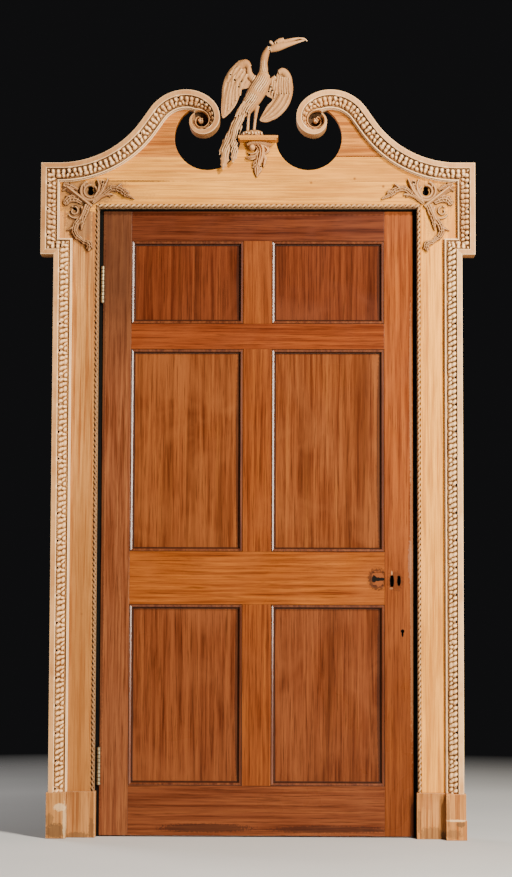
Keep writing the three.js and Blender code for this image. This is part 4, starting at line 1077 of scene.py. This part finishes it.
def bird_shells():
    body = [
        limb([(21, 2600, 20, 18), (9, 2564, 30, 25), (-9, 2530, 31, 25), (-28, 2497, 27, 21),
              (-46, 2468, 20, 14)]),
        limb([(17, 2584, 20, 17), (19, 2619, 14, 13), (20, 2648, 13, 12), (26, 2671, 12, 11),
              (37, 2694, 7, 8)]),
        limb([(40, 2684, 10, 9), (66, 2693, 14, 12), (100, 2702, 9, 8), (133, 2711, 5, 4),
              (158, 2717, 2, 2)]),
        limb([(58, 2704, 8, 7), (72, 2713, 10, 9), (88, 2719, 8, 7)]),
        limb([(86, 2712, 7, 6), (116, 2720, 5, 5), (140, 2724, 3.5, 4), (158, 2722, 3, 3),
              (168, 2714, 1.5, 1.5)]),
        limb([(50, 2703, 4, 4), (43, 2710, 6, 6), (39, 2715, 3, 3)]),
        limb([(-30, 2484, 8, 8), (-34, 2441, 5, 5), (-36, 2390, 5, 5)]),
        limb([(-4, 2488, 9, 9), (-10, 2441, 5, 5), (-15, 2390, 5, 5)]),
        wing_blade(LEFT_WING),
        wing_blade(RIGHT_WING),
    ]
    left = [
        limb([(-30, 2622, 9, 9, -2), (-44, 2636, 14, 11, -2), (-66, 2624, 12, 9, -1), (-82, 2600, 5, 5, 0)]),
        limb([(-6, 2574, 16, 13, 0), (-28, 2594, 12, 11, -1), (-33, 2622, 8, 9, -2)]),
        plume([(-62, 2642, 7, 7, 0), (-98, 2600, 9, 8, 0), (-116, 2545, 9, 8, 0), (-119, 2452, 4, 4, 0)]),
        *fan([(-92, 2586), (-60, 2560)], [(-115, 2456), (-62, 2524)], 5, 9.0, 7.0, 2.0, 4.0),
        *fan([(-84, 2616), (-46, 2578)], [(-106, 2570), (-62, 2540)], 4, 8.5, 6.0, 6.0, 3.0),
        *fan([(-66, 2624), (-38, 2596)], [(-88, 2590), (-52, 2562)], 4, 7.5, 5.5, 9.0, 2.0),
    ]
    right = [
        limb([(70, 2604, 9, 8, -1), (86, 2608, 12, 9, -1), (104, 2586, 11, 8, 0), (112, 2550, 6, 6, 0)]),
        plume([(100, 2606, 6, 6), (112, 2552, 8, 8), (98, 2496, 9, 8), (60, 2452, 8, 7), (18, 2436, 4, 4)]),
        plume([(96, 2528, 8, 7, -2), (76, 2490, 9, 7, -2), (46, 2458, 7, 6, -2), (16, 2440, 4, 4, 0)]),
        plume([(80, 2526, 8, 7, -3), (58, 2490, 8, 7, -3), (30, 2458, 6, 6, -2), (8, 2440, 3, 3, 0)]),
        *fan([(68, 2590), (106, 2584)], [(66, 2528), (110, 2524)], 6, 6.0, 6.0, 4.0, 2.0),
        *fan([(50, 2580), (62, 2566)], [(38, 2536), (54, 2514)], 3, 6.0, 6.0, 6.0, -3.0),
        limb([(20, 2560, 14, 12, 0), (40, 2572, 10, 9, 0), (60, 2588, 8, 8, -1)]),
    ]
    tail = [
        plume([(-30, 2500, 19, 11), (-62, 2454, 19, 11), (-84, 2408, 19, 10), (-107, 2352, 18, 8, -2),
               (-113, 2310, 18, 7, -2), (-118, 2284, 13, 6, -2), (-121, 2268, 4, 4, -2)], 7),
        plume([(-36, 2490, 16, 10, -5), (-66, 2436, 17, 9, -7), (-84, 2380, 14, 8, -7),
               (-80, 2340, 16, 7, -5), (-83, 2312, 14, 6, -4), (-87, 2292, 4, 4, -3)], 6),
        plume([(-38, 2478, 11, 8, 2), (-56, 2438, 9, 7, 2), (-63, 2388, 2, 2, 0)], 4),
        plume([(-58, 2462, 10, 8, 6), (-98, 2396, 11, 8, 6), (-124, 2340, 9, 6, 5),
               (-132, 2318, 2, 2, 4)], 4),
        *fan([(-14, 2520), (-46, 2500)], [(-40, 2462), (-78, 2446)], 4, 8.0, 6.0, 15.0, 0.0),
    ]
    mound = [
        egg((-32, BIRD_Y, 2387), (28, 23, 14)),
        egg((-8, BIRD_Y - 4, 2388), (25, 21, 15)),
        egg((-22, BIRD_Y - 14, 2392), (9, 9, 9)),
        egg((-4, BIRD_Y - 16, 2391), (10, 8, 9)),
        egg((-44, BIRD_Y - 8, 2386), (10, 9, 7)),
    ]
    claws = [egg((x, BIRD_Y - 20, 2388 + 2 * (k % 2)), (3.6, 9, 6)) for k, x in enumerate(CLAWS)]
    return body + left + right + tail + mound + claws


BIRD_HOLES = [
    (63, 2707, 3.2, 6), (-81, 2576, 3.4, 9), (-67, 2553, 3.0, 8), (-95, 2594, 2.8, 8), (-58, 2570, 2.8, 8),
    (38, 2688, 2.6, 9), (40, 2680, 2.4, 8), (36, 2696, 2.2, 7), (44, 2552, 3.2, 9), (50, 2540, 2.8, 8),
    (36, 2538, 3.0, 9), (-27, 2384, 2.4, 8), (-14, 2384, 2.4, 8), (-38, 2386, 2.2, 7),
]

# Grooves of the plumage: both ends of the middle line, half width, pitch and depth
FLUTES = [((24, 2650), (20, 2596), 16, 6.4, 1.2), ((18, 2596), (-14, 2532), 34, 7.4, 1.8),
          ((-16, 2534), (-58, 2464), 32, 7.0, 2.0), ((-56, 2466), (-112, 2300), 34, 7.6, 2.0),
          ((-40, 2480), (-84, 2310), 14, 6.6, 1.6)]
FLUTE_SWAY = 2.2
FLUTE_WAVE = 13.0


def flute(mesh, start, end, half, pitch, depth):
    """Cuts grooves along a line into the skin, fading towards its ends and sides."""
    start, end = np.asarray(start, float), np.asarray(end, float)
    reach = np.hypot(*(end - start))
    way = (end - start) / reach
    places, normals = points_of(mesh)
    spot = np.stack([places[:, 0], places[:, 2] - FLOOR], axis=1) / MM - start
    along = spot @ way / reach
    across = spot @ np.array([way[1], -way[0]])
    fade = np.clip(6 * np.minimum(along, 1 - along), 0, 1) * np.clip(4 - 4 * np.abs(across) / half, 0, 1)
    bend = across + FLUTE_SWAY * np.sin(along * reach / FLUTE_WAVE)
    share = fade * (0.5 + 0.5 * np.cos(2 * np.pi * bend / pitch)) ** 2
    places -= normals * (share * depth * MM)[:, None]
    move(mesh, places)


def make_bird():
    mesh = fused("bird_skin", bird_shells(), BIRD_VOXEL, 1)
    for line in FLUTES:
        flute(mesh, *line)
    shelf = FLOOR + (CAP_TOP + SHELF_GAP) * MM
    places = read(mesh.vertices, "co", 3)
    sunk = (np.abs(places[:, 0]) < SHELF_HALF * MM) & (places[:, 2] < shelf)
    places[sunk, 2] = shelf
    mesh.vertices.foreach_set("co", places.ravel())
    hollows = drill(mesh, BIRD_HOLES)
    mark_cuts(mesh, *BIRD_CUTS, hollows=hollows)
    place_piece("ho_ho_bird", mesh, CARVED["bird"], "surround", ["phoenix"])


# Door mouldings and hinges

MAHOGANY = {
    "hinge_stile": ((0.165, 0.050, 0.0180), "z", 0.25, 0.0),
    "lock_stile": ((0.200, 0.047, 0.0088), "z", 0.25, 0.0),
    "top_rail": ((0.082, 0.018, 0.0065), "x", 0.25, 0.0),
    "frieze_rail": ((0.150, 0.031, 0.0065), "x", 0.25, 0.0),
    "lock_rail": ((0.210, 0.053, 0.0085), "x", 0.25, 0.0),
    "bottom_rail": ((0.128, 0.033, 0.0110), "x", 0.3, 0.0),
    "muntin": ((0.158, 0.038, 0.0078), "z", 0.3, 0.0),
    "panel_bottom": ((0.130, 0.033, 0.0100), "z", 0.7, 8.0),
    "panel_middle": ((0.152, 0.040, 0.0100), "z", 0.7, 11.0),
    "panel_top": ((0.095, 0.020, 0.0060), "z", 0.7, 9.0),
    "moulding": ((0.105, 0.026, 0.0080), "z", 0.2, 0.0),
}
CHIP = (0.36, 0.17, 0.075)
# Painted shade where a stile catches less sheen: from one height to another, up to a share; the lock stile
# towards the bottom, the hinge stile towards the top
DOOR_LOW = {"lock_stile": (1250.0, 600.0, 0.45), "hinge_stile": (1500.0, 1850.0, 0.75)}
DOOR_MARKS = {
    "lock_rail": [(409, 869, 30, 36, 0.5, GRIME_AND_SHADE, 0.75), (412, 871, 22, 25, 0.5, (0.20, 0.052, 0.012), 0.8),
                  (413, 869, 24, 6, 0.7, PAINTED_HOLE_SHADE, 1.0), (399, 869, 9, 12, 0.6, PAINTED_HOLE_SHADE, 1.0)],
    "lock_stile": [(522, 930, 8, 70, 0.9, (0.30, 0.16, 0.10), 0.28), (470, 862, 26, 32, 0.8, GRIME_AND_SHADE, 0.35),
                   (459, 889, 2.5, 9, 0.3, CHIP, 0.8), (457, 838, 6, 4, 0.8, CHIP, 0.35),
                   (459, 862, 7.5, 20, 0.3, PAINTED_HOLE_SHADE, 1.0), (483, 864, 6.5, 18, 0.3, PAINTED_HOLE_SHADE, 1.0),
                   (495, 693, 6, 6.5, 0.2, PAINTED_HOLE_SHADE, 1.0), (495, 683, 3.4, 10, 0.2, PAINTED_HOLE_SHADE, 1.0),
                   (527, 900, 6, 560, 0.8, CHIP, 0.35), (524, 1500, 5, 300, 0.8, CHIP, 0.3)],
    "hinge_stile": [(-527, 1100, 6, 900, 0.7, GRIME_AND_SHADE, 0.5)],
    "bottom_rail": [(-170, 30, 150, 14, 0.9, GRIME_AND_SHADE, 0.6), (250, 26, 190, 12, 0.9, GRIME_AND_SHADE, 0.5)],
}


def mahogany_for(part, seed, marks=()):
    colour, axis, figure, lean = MAHOGANY[part]
    low, marks = DOOR_LOW.get(part), [*DOOR_MARKS.get(part, ()), *marks]
    return mahogany(f"mahogany_{part}_{seed:g}", colour, axis, seed, figure, lean, low=low, marks=marks)


BAYS = ("bottom", "middle", "top")
SIDES = ("left", "right")

# Panel moulding, as inset and depth below the front: a quirk, a bead, a long bevel and a hollow
MOULDING = [
    (0.0, 13.4), (0.0, 2.8), (1.2, 2.8), (1.5, 0.9), (1.8, 0.4), (2.2, 0.1), (2.6, 0.0), (2.9, 0.0),
    (3.2, 0.09), (3.5, 0.194), (7.9, 1.726), (8.2, 1.83), (8.6, 2.05), (9.4, 3.4), (10.4, 5.8),
    (11.6, 8.5), (13.0, 10.7), (14.4, 11.6), (14.8, 12.0), (14.8, 13.4),
]
MOULDING_SHARP = 20
# Painted shade lies on the moulding outside these insets, in the quirk and the hollow
UNSHADED_FROM = 1.4
UNSHADED_TO = 9.0


def make_mouldings():
    """Mitred mouldings round the panels, with painted shade in the quirk and the hollow."""
    colour, axis, figure, lean = MAHOGANY["moulding"]
    material = mahogany("mahogany_moulding", colour, axis, 2.0, figure, lean, wear=0.6, polish=0.6)
    painted_shade = np.repeat([float(inset < UNSHADED_FROM or inset > UNSHADED_TO) for inset, _ in MOULDING], 4)
    faces = []
    for k in range(len(MOULDING)):
        n = (k + 1) % len(MOULDING)
        for i in range(4):
            j = (i + 1) % 4
            faces.append([4 * k + i, 4 * n + i, 4 * n + j, 4 * k + j])
    for bay in BAYS:
        for side in SIDES:
            node = f"door_moulding_{bay}_{side}"
            x0, x1 = span(node, 0)
            z0, z1 = span(node, 2)
            points = []
            for inset, depth in MOULDING:
                y = DOOR_FRONT + depth
                points += [(x0 + inset, y, z0 + inset), (x1 - inset, y, z0 + inset)]
                points += [(x1 - inset, y, z1 - inset), (x0 + inset, y, z1 - inset)]
            mesh = mesh_of(node, points, faces, MOULDING_SHARP)
            store_cut(mesh, painted_shade)
            place_piece("panel_" + node[5:], mesh, material, "door", [node])


KNUCKLES = 5
KNUCKLE_RADIUS = 6.0
KNUCKLE_GAP = 0.6
HINGE_SHARP = 35
PIN = (-532.5, -7.0)
PIN_RADIUS = 3.4
PIN_PROUD = 3.0
PLATES = {"frame": (-536.2, -534.1), "door": (-530.9, -528.8)}
PLATE_FRONT = 5.0
WAIST = (1.3, 0.7, 1.2)


def barrel(z0, z1, radius, chamfer):
    """A turned length with chamfered ends and a groove round its waist."""
    turn = np.linspace(0, 2 * np.pi, 28, endpoint=False)
    middle = (z0 + z1) / 2
    wide, narrow, sunk = WAIST
    steps = [(radius - chamfer, z0), (radius, z0 + chamfer), (radius, middle - wide)]
    steps += [(radius - sunk, middle - narrow), (radius - sunk, middle + narrow)]
    steps += [(radius, middle + wide), (radius, z1 - chamfer), (radius - chamfer, z1)]
    rows = [[(PIN[0] + r * math.cos(a), PIN[1] + r * math.sin(a), z) for r, z in steps] for a in turn]
    return loft(np.asarray(rows))


def make_hinges():
    brass = old_brass("old_brass")
    for level in ("upper", "lower"):
        for kind, odd, body in (("frame", 0, "surround"), ("door", 1, "door")):
            node = f"hinge_{kind}_leaf_{level}"
            low, high = span(f"hinge_door_leaf_{level}", 2)
            step = (high - low) / KNUCKLES
            back = span(node, 1)[1]
            x0, x1 = PLATES[kind]
            corners = [(x0, low), (x1, low), (x1, high), (x0, high)]
            shells = [prism(corners, PIN[1] + PLATE_FRONT, back)]
            for k in range(odd, KNUCKLES, 2):
                foot = low + k * step
                shells.append(barrel(foot + KNUCKLE_GAP, foot + step - KNUCKLE_GAP, KNUCKLE_RADIUS, 1.0))
            if not odd:
                shells.append(barrel(low - PIN_PROUD, high + PIN_PROUD, PIN_RADIUS, 1.2))
            mesh = mesh_of(node, *joined(shells), HINGE_SHARP)
            spots = read(mesh.vertices, "co", 3) / MM
            away = np.hypot(spots[:, 0] - PIN[0], spots[:, 1] - PIN[1])
            store_cut(mesh, (away < KNUCKLE_RADIUS - 0.3).astype(float))
            place_piece("brass_" + node, mesh, brass, body, [node])


# Finish of the solids that are shown as they are


def dress(node, material, bevel):
    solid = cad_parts[node]
    solid.data.materials.clear()
    solid.data.materials.append(material)
    weld = solid.modifiers.new("weld", "WELD")
    weld.merge_threshold = 0.01 * MM
    edge = solid.modifiers.new("arris", "BEVEL")
    edge.width = bevel * MM
    edge.segments = 2
    edge.limit_method = "ANGLE"
    edge.angle_limit = math.radians(40)


BOARD_ARRIS = 1.4
PLINTH_ARRIS = 1.6
LINING_ARRIS = 1.0
DOOR_ARRIS = 0.9
PANEL_ARRIS = 0.5

# Sunk holes by x, height and radius, black inside as painted shade, and the dust and painted shade round them
# by middle, half sizes and strength
SINKINGS = [(-575.0, 2192.0, 11.0), (-575.0, 2205.0, 8.5), (575.0, 2192.0, 11.0), (575.0, 2205.0, 8.5),
            (-627.0, 2138.0, 9.0)]
DUST_AND_SHADE = (0.17, 0.082, 0.036)
SHADES = [
    (-628, 2180, 70, 60, 0.65), (-560, 2195, 66, 40, 0.6), (-612, 2090, 46, 70, 0.6),
    (-505, 2215, 50, 26, 0.45), (-590, 1980, 46, 120, 0.22), (-490, 2180, 120, 24, 0.2),
    (628, 2180, 60, 50, 0.4), (565, 2195, 60, 36, 0.35), (612, 2090, 36, 60, 0.3),
]
HOLES = [(*shape, 0.9, DUST_AND_SHADE, share) for *shape, share in SHADES]
HOLES += [(x, height, radius, radius, 0.0, PAINTED_HOLE_SHADE, 1.0) for x, height, radius in SINKINGS]
CRACK = (0.12, 0.045, 0.012)
HEAD_CRACKS = [(-420, 2231, 130, 2.2, 0.4, CRACK, 1.0), (420, 2231, 100, 1.2, 0.4, CRACK, 0.6),
               (20, 2231, 230, 0.9, 0.5, CRACK, 0.4), (-330, 2262, 60, 1.2, 0.5, CRACK, 0.5),
               (150, 2175, 120, 1.2, 0.5, CRACK, 0.35)]
NECK_STREAKS = [(side * 255, height, 80, half, 0.6, CRACK, 0.35) for side in (-1, 1)
                for height, half in ((2332, 3.0), (2347, 2.0), (2368, 4.0), (2389, 2.5), (2412, 3.0))]
STAIN_AND_SHADE = (0.10, 0.048, 0.020)
PALE_MARK_AND_HIGHLIGHT = (0.74, 0.52, 0.28)
# The pale upright strip where the left outer plinth meets the inner one is a painted highlight of the outer
# plinth's lit side face, and the dark upright strip at the same place on the right is painted shade of the
# side face turned from the light
PLINTH_MARKS = {
    "inner_left": [(-551, 76, 6, 90, 0.4, (0.20, 0.075, 0.020), 0.6), (-600, 6, 40, 12, 0.9, STAIN_AND_SHADE, 0.6),
                   (-552, 30, 9, 34, 0.9, STAIN_AND_SHADE, 0.5)],
    "outer_left": [(-668, 26, 34, 24, 0.9, STAIN_AND_SHADE, 0.75), (-690, 62, 14, 22, 0.9, STAIN_AND_SHADE, 0.5),
                   (-655, 104, 20, 12, 0.9, PALE_MARK_AND_HIGHLIGHT, 0.5), (-640, 60, 5, 60, 0.8, PALE_MARK_AND_HIGHLIGHT, 0.5)],
    "inner_right": [(548, 60, 6, 40, 0.9, STAIN_AND_SHADE, 0.6), (590, 18, 40, 22, 0.9, STAIN_AND_SHADE, 0.5),
                    (628, 10, 8, 14, 0.9, STAIN_AND_SHADE, 0.7), (575, 120, 16, 24, 0.9, (0.30, 0.10, 0.025), 0.4)],
    "outer_right": [(668, 65, 36, 3.4, 0.7, PALE_MARK_AND_HIGHLIGHT, 0.6), (683, 52, 14, 9, 0.9, STAIN_AND_SHADE, 0.75),
                    (660, 22, 26, 14, 0.9, STAIN_AND_SHADE, 0.5), (642, 90, 5, 50, 0.9, STAIN_AND_SHADE, 0.5)],
}


def dress_surround():
    # The left jamb board is darker than the right one: partly the wood, partly painted shade on the side away
    # from the light
    boards = {
        "jamb_board_left": ((0.49, 0.216, 0.054), "z", 1.0, 1.35, HOLES),
        "jamb_board_right": ((0.72, 0.300, 0.040), "z", 2.0, 0.9, HOLES),
        "head_board_lower": ((0.65, 0.275, 0.034), "x", 3.0, 0.8, HOLES + HEAD_CRACKS),
        "head_board_upper": ((0.63, 0.262, 0.032), "x", 4.0, 0.8, HEAD_CRACKS),
        "neck_board_left": ((0.41, 0.142, 0.019), "x", 5.0, 1.3, NECK_STREAKS),
        "neck_board_right": ((0.45, 0.162, 0.021), "x", 6.0, 1.3, NECK_STREAKS),
        "pedestal_cap": ((0.60, 0.250, 0.036), "x", 7.0, 1.0, ()),
    }
    for node, (colour, axis, seed, streak, marks) in boards.items():
        # Painted shade: the left jamb board darkens towards the bottom
        low = (1700.0, 500.0, 0.45) if node == "jamb_board_left" else None
        wood = pine("pine_" + node, colour, axis, seed, streak=streak, low=low, marks=marks)
        dress(node, wood, BOARD_ARRIS)
    for side, colour, seed in (("left", (0.42, 0.186, 0.054), 8.0), ("right", (0.45, 0.190, 0.050), 11.0)):
        for k, part in enumerate(("inner", "outer")):
            node = f"plinth_{part}_{side}"
            marks = PLINTH_MARKS[f"{part}_{side}"]
            wood = pine("pine_" + node, colour, "z", seed + k, 0.5, 0.8, 1.0, 1.3, marks=marks)
            dress(node, wood, PLINTH_ARRIS)
    # Near-black lining: dark paint and painted shade in the gap round the door
    paint = dark_paint_and_shade("dark_paint_and_shade")
    for part in ("left", "right", "head"):
        dress("lining_" + part, paint, LINING_ARRIS)


# Painted shadow strip on each panel: its inset from the moulding's right edge and its half width
SHADOW_INSET = 16.0
SHADOW_HALF = 9.0


def dress_door():
    plain = {
        "door_stile_hinge": "hinge_stile", "door_stile_lock": "lock_stile", "door_rail_top": "top_rail",
        "door_rail_frieze": "frieze_rail", "door_rail_lock": "lock_rail", "door_rail_bottom": "bottom_rail",
    }
    for seed, (node, part) in enumerate(plain.items()):
        dress(node, mahogany_for(part, 3.0 + seed), DOOR_ARRIS)
    for seed, bay in enumerate(BAYS):
        dress(f"door_muntin_{bay}", mahogany_for("muntin", 20.0 + seed), DOOR_ARRIS)
        for k, side in enumerate(SIDES):
            # Painted shadow along the right edge of each panel, inside its moulding
            rim = span(f"door_moulding_{bay}_{side}", 0)[1] - SHADOW_INSET
            z0, z1 = span(f"door_moulding_{bay}_{side}", 2)
            painted_shadow = [(rim, (z0 + z1) / 2, SHADOW_HALF, (z1 - z0) / 2, 0.3, GRIME_AND_SHADE, 0.65)]
            wood = mahogany_for("panel_" + bay, 30.0 + 2 * seed + k, painted_shadow)
            dress(f"door_panel_{bay}_{side}", wood, PANEL_ARRIS)


# Stage, light and camera

CAMERA_PLACE = (0.0998, -7.4951, 0.781)
CAMERA_PITCH, CAMERA_YAW, CAMERA_ROLL = 4.321, -0.796, 0.194
CAMERA_FOCAL = 2200.0
IMAGE_HEIGHT = 877.0
SENSOR = 36.0
FLOOR_SIZE = 4.5
FLOOR_FADE = 2.0


def make_stage():
    """A pale floor that fades out before its rim."""
    turn = np.linspace(0, 2 * np.pi, 96, endpoint=False)
    mesh = bpy.data.meshes.new("floor")
    rim = [(FLOOR_SIZE * math.cos(a), FLOOR_SIZE * math.sin(a), FLOOR - 0.0005) for a in turn]
    mesh.from_pydata(rim, [], [list(range(len(rim)))])
    floor = bpy.data.objects.new("floor", mesh)
    bpy.context.scene.collection.objects.link(floor)
    made = Recipe("floor", {"Roughness": 0.8})
    mottle = made.noise((1.4, 1.4, 1.4), 3.0, 0.5)
    away = made.vector("LENGTH", made.vector("MULTIPLY", made.place, (1.0, 1.0, 0.0)))
    made.put(made.shader.inputs["Alpha"], made.remap(away, FLOOR_SIZE * 0.95, FLOOR_FADE))
    tone = made.ramp(mottle, [(0.3, (0.50, 0.49, 0.48)), (0.7, (0.54, 0.53, 0.52))])
    mesh.materials.append(made.done(tone))


def area_light(name, place, target, size, watts, colour):
    light = bpy.data.lights.new(name, "AREA")
    light.shape = "RECTANGLE"
    light.size, light.size_y = size
    light.energy = watts
    light.color = colour
    lamp = bpy.data.objects.new(name, light)
    lamp.location = place
    lamp.rotation_euler = (Vector(target) - Vector(place)).to_track_quat("-Z", "Y").to_euler()
    bpy.context.scene.collection.objects.link(lamp)


def make_light():
    middle = (0.0, 0.0, FLOOR + 1.35)
    area_light("key", (2.75, -4.0, FLOOR + 1.9), middle, (0.9, 2.6), 460.0, (1.0, 0.94, 0.83))
    area_light("high", (2.0, -3.4, FLOOR + 4.3), middle, (0.4, 0.4), 400.0, (1.0, 0.94, 0.83))
    area_light("fill", (-3.6, -4.6, FLOOR + 2.2), middle, (2.4, 2.4), 36.0, (1.0, 0.97, 0.94))
    area_light("back", (-4.6, 4.0, FLOOR + 2.8), middle, (2.4, 2.4), 260.0, (1.0, 0.98, 0.96))
    world = bpy.data.worlds.new("studio")
    world.use_nodes = True
    sky = world.node_tree.nodes["Background"]
    sky.inputs["Color"].default_value = (0.007, 0.007, 0.0075, 1.0)
    bpy.context.scene.world = world


def make_camera():
    lens = bpy.data.cameras.new("camera")
    lens.sensor_width = SENSOR
    lens.lens = CAMERA_FOCAL / IMAGE_HEIGHT * SENSOR
    camera = bpy.data.objects.new("camera", lens)
    pitch, yaw, roll = (math.radians(v) for v in (CAMERA_PITCH, CAMERA_YAW, CAMERA_ROLL))
    ahead = Vector((math.sin(yaw) * math.cos(pitch), math.cos(yaw) * math.cos(pitch), math.sin(pitch)))
    right = Vector((math.cos(yaw), -math.sin(yaw), 0.0))
    up = right.cross(ahead)
    tilted = right * math.cos(roll) + up * math.sin(roll)
    upright = up * math.cos(roll) - right * math.sin(roll)
    camera.matrix_world = Matrix((tilted, upright, -ahead)).transposed().to_4x4()
    camera.location = Vector(CAMERA_PLACE) + Vector((0.0, 0.0, FLOOR))
    bpy.context.scene.collection.objects.link(camera)
    bpy.context.scene.camera = camera


make_camera()
make_stage()
make_light()
make_backbands("right", 11)
make_backbands("left", 41)
make_ropes()
make_sprays()
make_pedestal_leaf()
make_bird()
make_mouldings()
make_hinges()
dress_surround()
dress_door()
